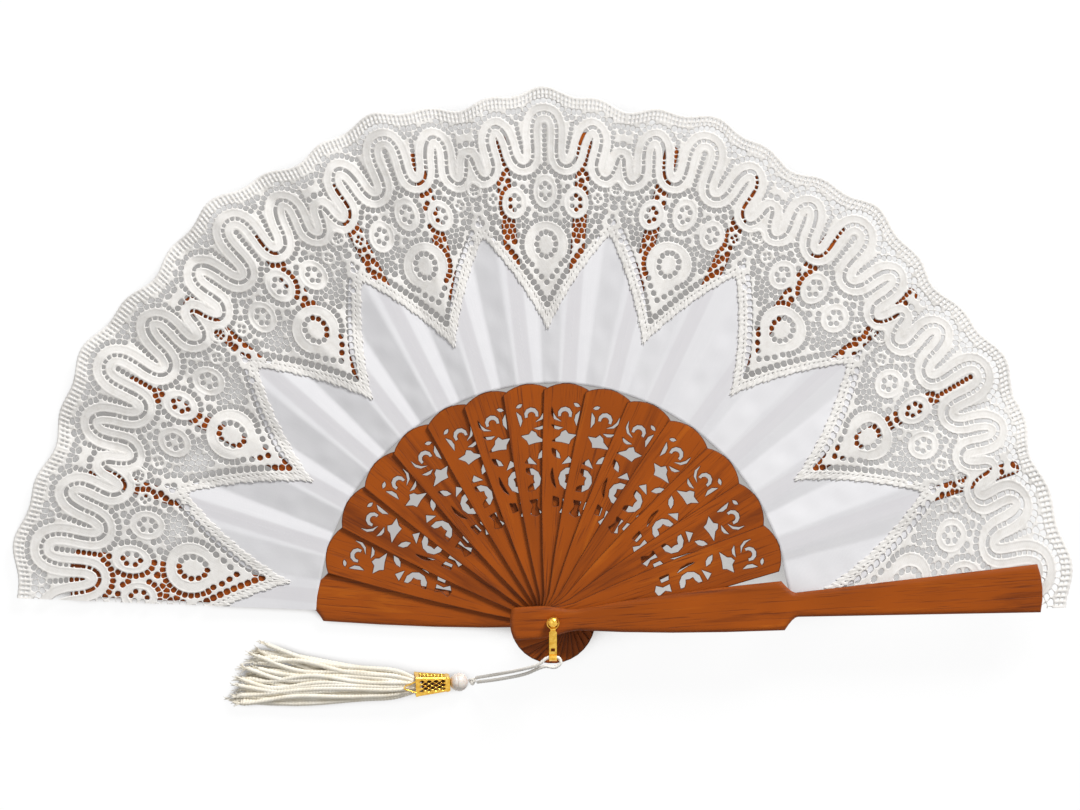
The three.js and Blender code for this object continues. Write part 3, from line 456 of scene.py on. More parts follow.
def lens(share):
    """Half the thickness of a thread as a share of its most, where share is how far in from the
    outline: the quarter of a circle, square root of 1 - (1 - share)^2, and 1 from 1 on."""
    return np.sqrt(1 - (1 - np.clip(share, 0, 1)) ** 2)


disc = cut_from_grid(3.2 - np.hypot(*(np.mgrid[0:9, 0:9] - 4.0)))
print("a disc cut from a 9 by 9 grid has", len(disc[0]), "points")

# %% [markdown]
# ## How the leaf is folded
# The leaf is glued to the upper side of every rib. Between two ribs it has two creases. From a
# rib the cloth lies flat over the wood, falls to a valley crease on the right, and climbs as one
# free panel to a mountain crease just left of the next rib, which lies one stick higher. The free
# panel is the one that turns over when the fan is shut. Each gore, from one rib's middle to the
# next, is a piece of its own, because only two neighbouring sticks move it.

# %% The folds
RIB_HALF = 3.1
MOUNTAIN, VALLEY = 2.3, 3.9  # degrees from a rib's middle to its crease on the left and on the right
FALL, CLIMB = 0.165, 0.08  # slopes beside a rib, to its right and to its left
LEFT_OVERHANG, RIGHT_OVERHANG = 3.35, 2.4  # degrees of leaf beyond the two guards' middles
CREASE_SOFTNESS = 0.4  # degrees over which a crease is rounded
LEAF_GAP = 0.3  # glue and cloth above the rib's face
RIPPLE, LONG_WAVE, SHORT_WAVE = 0.16, 31, 12.7  # height, and lengths of its two waves
FEET = np.concatenate([[1.1], 4.7 + 1.3 * np.arange(14), [22.9]])  # undersides of the sticks
SEATS = np.concatenate([[4.0], FEET[1:FRONT] + 0.7, [21.95]])  # the faces that carry the leaf
WIDTHS = np.diff(STICK_ANGLES)
FIRST_PETAL, PETAL_GORES = 1.12, 1.83  # in gores: where a petal's middle line lies, and its width


def beside_rib(k, offset, r):
    """Height of the leaf near stick k: flat over the rib, then straight slopes to the left and to
    the right."""
    across = np.radians(offset) * r
    slopes = 0 if k in (0, FRONT) else np.where(across > 0, -FALL, CLIMB)
    return SEATS[k] + LEAF_GAP + slopes * np.maximum(np.abs(across) - RIB_HALF, 0)


def folded(k, offset, r):
    """Height of gore k, offset degrees to the right of stick k: the two ribs' panels with a
    straight one between."""
    width = WIDTHS[k]
    share = np.clip((offset - VALLEY) / (width - MOUNTAIN - VALLEY), 0, 1)
    low, high = beside_rib(k, VALLEY, r), beside_rib(k + 1, -MOUNTAIN, r)
    free = low + (high - low) * share
    right = np.where(offset > width - MOUNTAIN, beside_rib(k + 1, offset - width, r), free)
    return np.where(offset < VALLEY, beside_rib(k, offset, r), right)


def leaf_level(k, offset, r):
    """The leaf's underside: the folds averaged over a small turn, which rounds them, and a faint
    ripple in the free panel, a sine along the crease times a bump across it."""
    shifts = CREASE_SOFTNESS * np.array([-1, -0.5, 0, 0.5, 1])
    weights = np.array([1, 2, 3, 2, 1]) / 9
    level = sum(w * folded(k, offset + s, r) for s, w in zip(shifts, weights))
    free = np.clip((offset - VALLEY) / (WIDTHS[k] - MOUNTAIN - VALLEY), 0, 1)
    long_wave = np.sin(2 * np.pi * (r / (LONG_WAVE + 3 * np.sin(k)) + 0.37 * k))
    short_wave = np.sin(2 * np.pi * r / SHORT_WAVE + 2.1 * k)
    return level + RIPPLE * (long_wave + 0.5 * short_wave) * np.sin(np.pi * free) ** 2


def gore_grid(k, columns, low, high, step):
    """A grid over gore k: offsets in degrees across, and distances from the rivet up."""
    left = -LEFT_OVERHANG if k == 0 else 0.0
    right = WIDTHS[k] + (RIGHT_OVERHANG if k == FRONT - 1 else 0.0)
    count = round(columns * (right - left) / STEP_ANGLE)
    return np.meshgrid(np.linspace(left, right, count), np.arange(low, high + step, step))


def on_leaf(k, offset, r, lift):
    """Points of gore k in space: the circle's sine and cosine across, the folds' height above."""
    turn = np.radians(STICK_ANGLES[k] + offset)
    return np.stack([r * np.sin(turn), r * np.cos(turn), leaf_level(k, offset, r) + lift], -1)


def place_in_petal(k, offset):
    """v: 0 on a petal's middle line and 1 or -1 where it meets the next one."""
    turns = (k + offset / WIDTHS[k] - FIRST_PETAL) / PETAL_GORES + 0.5
    return 2 * (turns - np.round(turns))


def at_fraction(grid, points):
    """A grid's values at rows and columns with fractions, by straight lines between its points."""
    row, column = points.T
    r0, c0 = np.floor(row).astype(int), np.floor(column).astype(int)
    r1, c1 = np.minimum(r0 + 1, grid.shape[0] - 1), np.minimum(c0 + 1, grid.shape[1] - 1)
    fr, fc = row - r0, column - c0
    return (
        grid[r0, c0] * (1 - fr) * (1 - fc) + grid[r1, c0] * fr * (1 - fc)
        + grid[r0, c1] * (1 - fr) * fc + grid[r1, c1] * fr * fc
    )


def bends_with(piece):
    """Bakes the gore's placement into its points."""
    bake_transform(piece)


print("gore widths in degrees", WIDTHS.round(2))

# %% [markdown]
# ## The lace's pattern
# The border is tape lace: a woven tape is laid in a winding line, and thread is worked between
# its turns until a net fills the gaps. The same petal comes back nine times and each half is the
# mirror image of the other, so half a petal is all that is drawn. A picture of lace on a plain
# sheet would look flat from close by, so the pattern is written as numbers here and cut later.
# x runs across a petal and y away from the rivet, in millimetres, on the petal laid flat. v is
# the place across half a petal: 0 on its middle line and 1 where it meets the next one.

# %% The pattern's main sizes
PETAL_TIP, PETAL_NOTCH = 125.0, 166.0  # rivet to the pointed edge, on the middle and at the meeting
LACE_EDGE, PETAL_CROWN, PETAL_LOBE = 222.0, 5.4, 2.6  # the outer edge, and how far it rises
HALF_PETAL = 0.172  # radians
OUTER_TAPE, INNER_TAPE = (0.68, 4.35), (0.68, 3.95)  # from the ladder's middle, outwards and inwards
BORDER_HOLES_AT, EDGING, BAND_STOP = 4.9, 3.4, 7.6  # depths inside the pointed edge
RIM_BAND = 5.7  # depth of the woven rim
THREAD = 0.18  # half the thickness of a thread between two holes
FAR_OUT = -9.0  # a distance that no part of the pattern can reach
# The line of the tape's ladder, from a petal's middle to its meeting with the next, as v and y.
LADDER_POINTS = [
    (0, 218.3), (0.085, 217.3), (0.135, 214.6), (0.156, 211), (0.156, 206.5), (0.152, 202),
    (0.165, 198.4), (0.21, 195.9), (0.292, 195.0), (0.375, 196.4), (0.43, 200.2), (0.462, 205.7),
    (0.512, 210.4), (0.595, 212.9), (0.675, 211.6), (0.722, 208), (0.72, 203.5), (0.697, 199),
    (0.692, 195.2), (0.737, 192.0), (0.822, 190.4), (0.895, 191.9), (0.94, 195.6), (0.965, 199.6),
    (1, 201.3),
]
# Straight rows of holes between the tape's turns.
HOLE_COLUMNS = [
    [(0, 212.5), (0, 196)],
    [(0.604, 208.2), (0.592, 205.2), (0.579, 202.5), (0.556, 199), (0.533, 195.5)],
    [(0.345, 213.5), (0.327, 209), (0.306, 205), (0.294, 200)],
    [(0.862, 211.5), (0.86, 206.5), (0.846, 201.5), (0.83, 196.3)],
]
# Rings of tape: place (v, y), half widths, then their flower of holes: count, half widths, radius.
RINGS = [
    ((0, 184.2), (5.5, 7.5), (6, 2.1, 3.3, 0.98)),
    ((0.45, 179.3), (5.6, 7.1), (6, 2.1, 3.1, 0.98)),
    ((0.755, 181.5), (2.9, 3.5), (4, 1.2, 1.5, 0.72)),
    ((1, 186.2), (3.4, 3.9), (5, 1.5, 1.8, 0.72)),
]
LOOP_AT, LOOP_RADIUS = 206.9, 4.4  # the tape's small loop between two petals
DROP_AT, DROP_SIZE, DROP_FLOWER = 161.0, (9.9, 10.3), (12, 4.25, 5.3, 1.08)
# The drop's lower point: half its width where it begins, how it narrows, and the share of a
# distance across that is left square to its slanted side. Its ring stops that far below its middle.
DROP_HALF, DROP_TAPER, SQUARE_TO_SIDE, DROP_RING_STOP = 10.2, 0.6, 0.85, 6
BORDER_GAP = 1.35  # from the border holes' line to the band beyond them


def lace_outer(v):
    """The scalloped edge: a low crown, a squared cosine, under three small lobes."""
    crown = PETAL_CROWN * np.cos(np.pi * v / 2) ** 2
    return LACE_EDGE + crown + PETAL_LOBE * (1 + np.cos(3 * np.pi * v)) / 2


def lace_inner(v):
    """The pointed edge: two straight lines that meet in the petal's point."""
    return PETAL_TIP + (PETAL_NOTCH - PETAL_TIP) * np.abs(v)


def laid_flat(v, y):
    """x = v times the half petal's angle times y."""
    v, y = np.broadcast_arrays(np.asarray(v, float), np.asarray(y, float))
    return np.stack([v * HALF_PETAL * y, y], -1)


print("a petal is", round(2 * HALF_PETAL * LACE_EDGE), "mm wide at its rim")

# %% [markdown]
# ## Distances on the flat petal
# Every shape of the pattern is found by a distance: so far from the tape's line, so far inside an
# oval, so far from an edge. Distances can be joined with least and greatest, which makes them
# easy to build on. These helpers measure from all the points of a gore at once.

# %% Helpers for distances
def smooth_way(points, per=10):
    """A Catmull-Rom curve through the points, with its ends mirrored, so that it meets its own
    mirror image evenly."""
    points = np.array(points, float)
    first, last = points[1] * [-1, 1], points[-2] * [-1, 1] + [2, 0]
    p = laid_flat(*np.vstack([first, points, last]).T)
    t = np.linspace(0, 1, per, endpoint=False)[:, None]
    parts = [
        0.5 * (2 * b + (c - a) * t + (2 * a - 5 * b + 4 * c - d) * t**2 + (3 * b - a - 3 * c + d) * t**3)
        for a, b, c, d in zip(p[:-3], p[1:-2], p[2:-1], p[3:])
    ]
    return np.vstack([*parts, p[-2:-1]])


def to_way(q, way):
    """Distance of each point to the nearest piece of the way, positive on its left, and the
    length along it."""
    best, side, along, start = np.full(len(q), 1e9), np.zeros(len(q)), np.zeros(len(q)), 0.0
    for a, b in zip(way[:-1], way[1:]):
        d = b - a
        length = np.hypot(*d)
        t = np.clip((q - a) @ d / length**2, 0, 1)
        off = q - a - t[:, None] * d
        far = np.hypot(off[:, 0], off[:, 1])
        near = far < best - 1e-9
        best[near] = far[near]
        side[near] = np.sign(d[0] * off[near, 1] - d[1] * off[near, 0])
        along[near] = start + t[near] * length
        start += length
    return best * side, along


def even_steps(way, pitch):
    """Points along a way, a pitch apart."""
    s = np.concatenate([[0], np.cumsum(np.hypot(*np.diff(way, axis=0).T))])
    at = np.arange(0, s[-1], pitch)
    return np.stack([np.interp(at, s, way[:, 0]), np.interp(at, s, way[:, 1])], -1)


def inside_oval(q, middle, half):
    """Distance inside an oval, negative outside: (1 - g) g over the size of g's slope, where g is
    1 on the rim."""
    n = (q - middle) / half
    g = np.hypot(n[:, 0], n[:, 1]) + 1e-9
    return (1 - g) * g / np.hypot(n[:, 0] / half[0], n[:, 1] / half[1])


def oval_points(middle, half, count, turn=0.0):
    """Points spread round an oval by equal angles."""
    t = turn + np.arange(count) * 2 * np.pi / count
    return np.stack([middle[0] + half[0] * np.sin(t), middle[1] + half[1] * np.cos(t)], -1)


def pointed_slope(v):
    """How steeply the pointed edge rises: millimetres of y to one of x."""
    rise = PETAL_NOTCH - PETAL_TIP
    return rise / (HALF_PETAL * (PETAL_TIP + 2 * rise * np.abs(v)))


LADDER = smooth_way(LADDER_POINTS)
print("the ladder's line has", len(LADDER), "points in half a petal")

# %% [markdown]
# ## Where the lace is closed
# The tapes, the rings and the teardrop are densely woven, and so are the scalloped rim and the
# band beside the pointed edge. One number tells how deep a point lies in any of them, and below 0
# the point is out in the net.

# %% The closed parts
def between(a, x, b):
    """Positive while x lies between a and b: the distance to the nearer one."""
    return np.minimum(x - a, b - x)


def in_tapes(d):
    """Distance inside the tape on either side of the ladder, d from the ladder's middle."""
    return np.maximum(between(OUTER_TAPE[0], d, OUTER_TAPE[1]), between(INNER_TAPE[0], -d, INNER_TAPE[1]))


def closed_parts(q):
    """Distance inside the tapes, rings, drop and bands, and the measures that it comes from."""
    d, s = to_way(q, LADDER)
    v = q[:, 0] / (HALF_PETAL * q[:, 1])
    depth = (q[:, 1] - lace_inner(v)) / np.hypot(1, pointed_slope(v))
    rim = lace_outer(v) - q[:, 1]
    tape = in_tapes(d)
    rings = np.full(len(q), FAR_OUT)
    for place, half, flower in RINGS:
        middle = laid_flat(*place)
        oval = inside_oval(q, middle, half)
        inner = inside_oval(q, middle, (flower[1] + flower[3], flower[2] + flower[3]))
        rings = np.maximum(rings, np.minimum(oval, -inner))
        tape = np.maximum(tape, oval)
    loop = LOOP_RADIUS - np.hypot(*(q - laid_flat(1, LOOP_AT)).T)
    fall = DROP_AT - q[:, 1]
    point = np.minimum(SQUARE_TO_SIDE * (DROP_HALF - DROP_TAPER * fall - np.abs(q[:, 0])), fall)
    oval = inside_oval(q, (0, DROP_AT), DROP_SIZE)
    _, a, b, hole = DROP_FLOWER
    drop_ring = np.minimum(oval, -inside_oval(q, (0, DROP_AT), (a + hole, b + hole)))
    rings = np.maximum(rings, np.where(fall < DROP_RING_STOP, drop_ring, FAR_OUT))
    inner_band = between(BORDER_HOLES_AT + BORDER_GAP, depth, BAND_STOP)
    band = np.where(depth < BORDER_HOLES_AT, EDGING - depth, inner_band)
    closed = np.maximum.reduce([tape, loop, oval, point, RIM_BAND - rim, band])
    return closed, rings, d, s, depth, rim


middle_line = np.stack([np.zeros(100), np.linspace(PETAL_TIP, LACE_EDGE, 100)], -1)
share = np.mean(closed_parts(middle_line)[0] > 0)
print("closed along a petal's middle line:", round(100 * share), "%")

# %% [markdown]
# ## Where its holes are
# A worked net has no even grid: its holes follow the tapes and squeeze together in the corners.
# So the holes are set in the order of the real work. Rows run beside the tapes, then the flowers
# and the border, and at last a loose net fills the rest. A hole that comes too close to an
# earlier one is left out.

# %% The holes' middles
# Each kind of hole: its radius, and how near the middle of an earlier hole may be.
COLUMN_HOLES, TAPE_HOLES, RING_HOLES, DROP_HOLES = (1.0, 1.5), (1.14, 2.2), (1.15, 2.15), (1.2, 2.2)
TIP_HOLES, LOOP_HOLE, BORDER_HOLES, NET_HOLES = (1.15, 0.9), (1.35, 0.9), (1.36, 0.9), (1.36, 1.85)
FLOWER_APART = 0.9
COLUMN_PITCH, BORDER_PITCH, NET_PITCH = 2.05, 2.75, 2.5
ROUND_OVALS = 1.0  # how far outside a ring or the drop its row of holes lies
HOLE_CLEAR, NET_CLEAR = 0.5, 0.35  # the least from a hole's middle to a closed part
NET_START, ROW_HEIGHT, UNEVEN = 130, 0.87, 0.7  # first row, height of a row in pitches, waver
BESIDE_TAPES = ((5.55, 5.3), (-5.1, 4.9))  # a row's distance from the ladder, and the least of it
TIP_POINTS = np.array([(0, 144.6), (2.4, 146.9), (4.6, 149.3), (6.5, 152.2)])  # x and y


def hole_middles():
    """The holes' middles and radii: rows beside the tapes first, then flowers, then the net that
    fills the rest."""
    middles, radii = [], []

    def add(points, radius, apart):
        for p in points:
            if all(np.hypot(*(p - m)) > apart for m in middles):
                middles.append(p)
                radii.append(radius)

    for column in HOLE_COLUMNS:
        add(even_steps(laid_flat(*np.array(column, float).T), COLUMN_PITCH), *COLUMN_HOLES)
    across = np.gradient(LADDER, axis=0) @ np.array([[0, 1], [-1, 0]])
    across /= np.hypot(*across.T)[:, None]
    for off, least in BESIDE_TAPES:
        row = even_steps(LADDER + off * across, 0.1)
        far = np.abs(to_way(row, LADDER)[0])
        within = (row[:, 0] > -0.05) & (row[:, 0] < HALF_PETAL * row[:, 1] + 0.05)
        add(row[(far > least) & within], *TAPE_HOLES)
    for place, _, (n, a, b, radius) in RINGS:
        add(oval_points(laid_flat(*place), (a, b), n), radius, FLOWER_APART)
    add(oval_points((0, DROP_AT), DROP_FLOWER[1:3], DROP_FLOWER[0]), DROP_FLOWER[3], FLOWER_APART)
    add(TIP_POINTS, *TIP_HOLES)
    add(laid_flat([1], [LOOP_AT]), *LOOP_HOLE)
    v = np.linspace(0, 1, 300)
    slope = pointed_slope(v)
    normal = np.stack([-slope, np.ones_like(v)], -1) / np.hypot(1, slope)[:, None]
    edge = laid_flat(v, lace_inner(v)) + BORDER_HOLES_AT * normal
    add(even_steps(edge[edge[:, 0] >= 0], BORDER_PITCH), *BORDER_HOLES)
    ovals = [(laid_flat(*place), half, 200, RING_HOLES) for place, half, _ in RINGS[:3]]
    for middle, half, count, kind in [*ovals, ((0, DROP_AT), DROP_SIZE, 300, DROP_HOLES)]:
        around = oval_points(middle, (half[0] + ROUND_OVALS, half[1] + ROUND_OVALS), count)
        add(around[closed_parts(around)[0] < -HOLE_CLEAR], *kind)
    row, col = np.mgrid[0:52, 0:19]
    net = np.stack([
        (col + 0.5 * (row % 2)) * NET_PITCH, NET_START + row * NET_PITCH * ROW_HEIGHT
    ], -1).reshape(-1, 2)
    # A sine times a great number has digits that look random, but are the same each time.
    waver = np.sin(net @ np.array([[12.9898, 39.425], [78.233, 11.135]])) * 4375.85
    net += UNEVEN * (waver - np.floor(waver) - 0.5)
    keep = (net[:, 0] > -0.2) & (net[:, 0] < HALF_PETAL * net[:, 1] + 0.6)
    add(net[keep & (closed_parts(net)[0] < -NET_CLEAR)], *NET_HOLES)
    return np.array(middles), np.array(radii)


def with_mirror_images(middles, radii):
    """The holes near the petal's two edges once more beyond them, so that the net runs on. A hole
    on an edge stays single."""
    to_edge = HALF_PETAL * middles[:, 1] - middles[:, 0]
    left = (middles[:, 0] < 4) & (middles[:, 0] > 0.35)
    right = (to_edge < 4) & (to_edge > 0.35)
    beyond = middles[right] + np.stack([2 * to_edge[right], 0 * to_edge[right]], -1)
    everywhere = np.vstack([middles, middles[left] * [-1, 1], beyond])
    return everywhere, np.concatenate([radii, radii[left], radii[right]])


HOLES, HOLE_RADII = with_mirror_images(*hole_middles())
print("holes in half a petal:", len(HOLES))

# %% [markdown]
# ## The lace as one field
# The thread between two holes lies where they are equally far, as the walls do between soap
# bubbles. Half the difference of the distances to the nearest two holes is the distance to that
# wall, and less than half a thread of it is thread. Rungs, stitches and the small loops of the
# edges are cut with waves of sine and cosine. The result is one number for each point of cloth,
# above 0 in thread and below 0 in a hole, which is just what the grid helper cuts by.

# %% The field
LADDER_PITCH, LADDER_SLOT = 2.2, (0.74, 0.66)  # half a slot between two rungs, along and across
RIM_PITCH, RIM_DASH = 1.75, (0.3, 0.6)  # half a dash in the woven rim, along and across
DASH_ROWS, FIRST_ROW, RIM_ROWS = 1.95, 0.15, (0.9, 5.5)  # from row to row, the first one, and their limits
PRICK_PITCH, PRICK_RADIUS, PRICK_DEPTH = 1.9, 0.3, 2.5  # the row of small holes in the edging
PICOT_PITCH = 2.3
CORD_IN_TAPE = (0.3, 0.28)  # how far inside a tape's edge its raised cord lies, and its width
HALFWAY_UP = 145  # from the rivet to the middle of the pointed edge's rise
POINTS_AT_ONCE = 4000  # measured against all the holes in one array


def saw(x, pitch):
    """Distance to the nearest whole number of pitches."""
    return np.abs((x + pitch / 2) % pitch - pitch / 2)


def lace_field(v, y):
    """Distance inside the lace's thread, negative in a hole, and the relief of its raised cords,
    in millimetres."""
    v = np.abs(v)
    q = laid_flat(v, y)
    _, rings, d, s, depth, rim = closed_parts(q)
    first, second, radius = np.empty(len(q)), np.empty(len(q)), np.empty(len(q))
    for c in range(0, len(q), POINTS_AT_ONCE):
        part = slice(c, c + POINTS_AT_ONCE)
        gap = np.hypot(q[part, None, 0] - HOLES[:, 0], q[part, None, 1] - HOLES[:, 1])
        two = np.argpartition(gap, 1, axis=1)[:, :2]
        near = np.take_along_axis(gap, two, 1)
        first[part], second[part] = near.min(1), near.max(1)
        radius[part] = HOLE_RADII[np.take_along_axis(two, near.argmin(1)[:, None], 1)[:, 0]]
    hole = np.minimum((second - first) / 2 - THREAD, radius - first)
    tapes = in_tapes(d)
    thread = np.maximum.reduce([-hole, tapes, rings])
    ladder = np.minimum(LADDER_SLOT[0] - saw(s, LADDER_PITCH), LADDER_SLOT[1] - np.abs(d))
    x = v * HALF_PETAL * LACE_EDGE
    along = v * np.hypot(PETAL_NOTCH - PETAL_TIP, HALF_PETAL * HALFWAY_UP)
    dashes = np.minimum(RIM_DASH[0] - saw(x, RIM_PITCH), RIM_DASH[1] - saw(rim - FIRST_ROW, DASH_ROWS))
    dashes = np.where((rim > RIM_ROWS[0]) & (rim < RIM_ROWS[1]), dashes, FAR_OUT)
    pricks = PRICK_RADIUS - np.hypot(saw(along, PRICK_PITCH), depth - PRICK_DEPTH)
    picots = (0.85 + 0.3 * np.sin(0.83 * along)) * np.abs(np.sin(np.pi * along / PICOT_PITCH)) - 0.2
    edges = np.minimum(rim + 0.1 * np.cos(2 * np.pi * x / RIM_PITCH), depth + picots)
    field = np.minimum.reduce([thread, -ladder, -dashes, -pricks, edges])
    cords = crest(tapes, *CORD_IN_TAPE) + crest(rings, *CORD_IN_TAPE)
    cords += np.where(rim < RIM_BAND, 0.5 + 0.5 * np.cos(2 * np.pi * (x / RIM_PITCH + 0.5)), 0)
    crinkle = np.sin(np.pi * (along + 0.5 * np.sin(1.37 * along)) / 1.15 + 0.9 * depth)
    cords += np.where(depth < EDGING, 0.55 * crinkle * np.sin(np.pi * depth / 1.1), 0)
    return field, cords


middle_line = np.linspace(PETAL_TIP, LACE_EDGE, 400)
share = np.mean(lace_field(0 * middle_line, middle_line)[0] > 0)
print("thread along a petal's middle line:", round(100 * share), "%")

# %% [markdown]
# ## The lace's thread
# The lace is of matt cotton, off white, with a weave too fine to model. Two crossing waves on the
# pattern laid flat stand for it in the height, and two noises change the white a little from
# place to place. The same material serves every gore, so no seam shows between them.

# %% Lace material
LACE_WHITE, LACE_SHADE = srgb(241, 238, 234), srgb(224, 219, 212)


def thread_material(name, pale, dark, pitch, depth):
    """Cotton thread: two crossing waves on the laid-flat pattern, pitch millimetres apart, for the
    weave, with a soft sheen and faint changes of colour."""
    material, shader = new_material(name)
    flat = add_node(material, "UVMap", uv_map="laid_flat").outputs[0]
    x, y, _ = add_node(material, "SeparateXYZ", {0: flat}).outputs
    weave = math_node(material, "MULTIPLY", wave(material, x, pitch), wave(material, y, pitch))
    fuzz = noise(material, flat, 0.35, 4, 0.6)
    fine = noise(material, flat, 3.0, 3, 0.6)
    shade = math_node(material, "MULTIPLY_ADD", fine, 0.4, fuzz)
    shade = math_node(material, "MULTIPLY_ADD", weave, 0.12, shade)
    tone = colour_steps(material, shade, [(0.35, dark), (0.75, pale)])
    values = {"Base Color": tone, "Roughness": 0.82, "Sheen Weight": 0.25, "Sheen Roughness": 0.4}
    feed(material, shader, values)
    set_bump(material, shader, math_node(material, "MULTIPLY_ADD", fine, 0.8, weave), depth * MM, 0.7)
    return material


LACE = thread_material("lace_cotton", LACE_WHITE, LACE_SHADE, 0.62, 0.05)
print("lace", [round(c, 3) for c in LACE_WHITE[:3]])

# %% [markdown]
# ## Where the pattern lies on the leaf
# A fan's leaf is cut by hand, so it is a little uneven: on the photographed fan the rim lies
# further out on the left than on the right, and the petals' points reach further in towards both
# sides. The flat pattern stays one petal for all nine, and is stretched evenly to the real edges.

# %% The pattern's place on the leaf
RIM_AT_TOP, EDGE_SKEW = 223.5, 6.0
TIP_AT_TOP, TIP_FALL, TIP_FALL_AT, NOTCH_AT = 126.9, 5.6, 59.0, 169.5


def pointed_edge(k, offset):
    """The leaf's own pointed edge: each point falls with the square of the angle from straight up."""
    tip = TIP_AT_TOP - TIP_FALL * ((STICK_ANGLES[k] + offset) / TIP_FALL_AT) ** 2
    return tip + (NOTCH_AT - tip) * np.abs(place_in_petal(k, offset))


def pattern_place(k, offset, r):
    """v and y on the flat pattern, stretched evenly between the leaf's pointed edge and its rim."""
    v = place_in_petal(k, offset)
    rim = RIM_AT_TOP - EDGE_SKEW * np.sin(np.radians(STICK_ANGLES[k] + offset))
    stretch = (LACE_EDGE - lace_inner(v)) / (rim - pointed_edge(k, offset))
    return v, LACE_EDGE + (r - rim) * np.where(r < rim, stretch, 1)


print("rim at the left and right:", RIM_AT_TOP + EDGE_SKEW, RIM_AT_TOP - EDGE_SKEW, "mm")

# %% [markdown]
# ## The fifteen gores of lace
# The leaf is one sheet, but each of its gores moves with its own two sticks, so the lace is cut
# once for each gore. The grid's first and last columns are the neighbours' own, point for point,
# so no seam is seen. The threads are modelled rather than painted, because light has to fall
# through every hole on to the ribs and the table. A thread is round, so the front rises from the
# outline like a lens, and the raised cords of the tapes stand on that.

# %% Lace
LACE_COLUMNS, LACE_STEP = 104, 0.38  # points across a gore, and millimetres between its rows
LACE_MIDDLE = 0.65  # above the leaf's underside
THREAD_HALF, CORD_RISE, ROUNDING = 0.2, 0.2, 0.3


def lace_gore(k):
    """Gore k of the lace: the pattern's field on a grid, cut, and given a lens section with the
    tape's cords raised on its front. cut holds the points, which of them lie on the outline, and
    the faces."""
    low = pointed_edge(k, np.linspace(-LEFT_OVERHANG, WIDTHS[k], 60)).min() - 1
    offset, r = gore_grid(k, LACE_COLUMNS, low, RIM_AT_TOP + EDGE_SKEW + 10, LACE_STEP)
    v, y = pattern_place(k, offset, r)
    field, cords = (a.reshape(r.shape) for a in lace_field(v.ravel(), y.ravel()))
    cut, last = cut_from_grid(field), r.shape[1] - 1
    offset, r, cords, field = (at_fraction(a, cut[0]) for a in (offset, r, cords, field))
    share = np.clip(field / ROUNDING, 0, 1)
    half = THREAD_HALF * lens(share)
    rise = half + CORD_RISE * cords * share
    front = on_leaf(k, offset, r, LACE_MIDDLE) + np.where(cut[1], 0, rise)[:, None] * [0, 0, 1]
    back = on_leaf(k, offset, r, LACE_MIDDLE) - half[:, None] * [0, 0, 1]
    return gore_piece("lace", k, cut, last, offset, r, front, back, LACE)


def front_area(points, faces):
    """The area of one skin in square millimetres: half the cross product of each face's diagonals
    or, on a triangle, of two sides, summed over fans of triangles."""
    area = 0.0
    for f in faces:
        for i in range(1, f.shape[1] - 1):
            a, b, c = points[f[:, 0]], points[f[:, i]], points[f[:, i + 1]]
            area += np.linalg.norm(np.cross(b - a, c - a), axis=1).sum() / 2
    return area


def gore_piece(kind, k, cut, last, offset, r, front, back, material, **marks):
    """Gore k from its two skins, with its CAD gore hidden and its place baked. It returns its face
    count, its front's area and what it is cut from: a sheet as wide and as long as its own pattern
    laid flat. What is given for the front is given once more for the back's own points, and edges
    along the seams to its neighbours are hard."""
    points, outline, faces = cut
    where, skins = two_skins(points, outline, faces, front, back, last)
    flat = np.stack([np.radians(offset) * r, r], -1)
    seam = (points[:, 1] == 0) | (points[:, 1] == last)
    flat, seam, *values = (np.concatenate([a, a[~outline]]) for a in (flat, seam, *marks.values()))
    marks = dict(zip(marks, values))
    piece = new_piece(f"{kind}_gore_{k + 1:02d}", where, skins, material, flat, seam, **marks)
    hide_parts(f"leaf_{kind}_{k + 1:02d}")
    bends_with(piece)
    size, area = np.ptp(flat, axis=0), front_area(where, faces)
    return len(piece.data.polygons), area, size


made = [lace_gore(k) for k in range(FRONT)]
print("lace:", sum(m[0] for m in made), "faces; last gore", round(made[-1][1]), "square mm of thread from a")
print("sheet of", made[-1][2].round(), "mm")

# %% [markdown]
# ## The plain cloth
# Under the lace's points the leaf is a thin pale satin. Where a rib lies behind it, the wood shows
# through faintly, so a mark on the mesh darkens the cloth over the rib. The weave follows the
# laid-flat pattern, with fine threads that run along the creases. Being on the pattern and not in
# space, it folds with the cloth when the fan is shut.

# %% Cloth material
CLOTH_PALE, CLOTH_GREY, OVER_RIB = srgb(228, 227, 229), srgb(221, 220, 223), srgb(212, 209, 212)
WARP_PITCH, WEFT_PITCH = 0.4, 0.55
CLOTH, shader = new_material("cloth_satin")
flat = add_node(CLOTH, "UVMap", uv_map="laid_flat").outputs[0]
x, y, _ = add_node(CLOTH, "SeparateXYZ", {0: flat}).outputs
warp, weft = wave(CLOTH, x, WARP_PITCH), wave(CLOTH, y, WEFT_PITCH)
weave = math_node(CLOTH, "MULTIPLY_ADD", weft, 0.35, warp)
thread_run = add_node(CLOTH, "Mapping", {"Vector": flat, "Scale": (1, 0.03, 1)}).outputs[0]
slubs = noise(CLOTH, thread_run, 1.6, 4, 0.65)
clouds = noise(CLOTH, flat, 0.05, 3, 0.5)
behind = add_node(CLOTH, "Attribute", attribute_name="rib_behind").outputs["Fac"]
shade = math_node(CLOTH, "MULTIPLY_ADD", slubs, 0.35, clouds)
tone = colour_steps(CLOTH, shade, [(0.3, CLOTH_GREY), (0.75, CLOTH_PALE)])
tone = mixed(CLOTH, math_node(CLOTH, "MULTIPLY", behind, 0.5), tone, OVER_RIB)
values = {"Base Color": tone, "Roughness": 0.62, "Sheen Weight": 0.2, "Sheen Roughness": 0.35}
feed(CLOTH, shader, values)
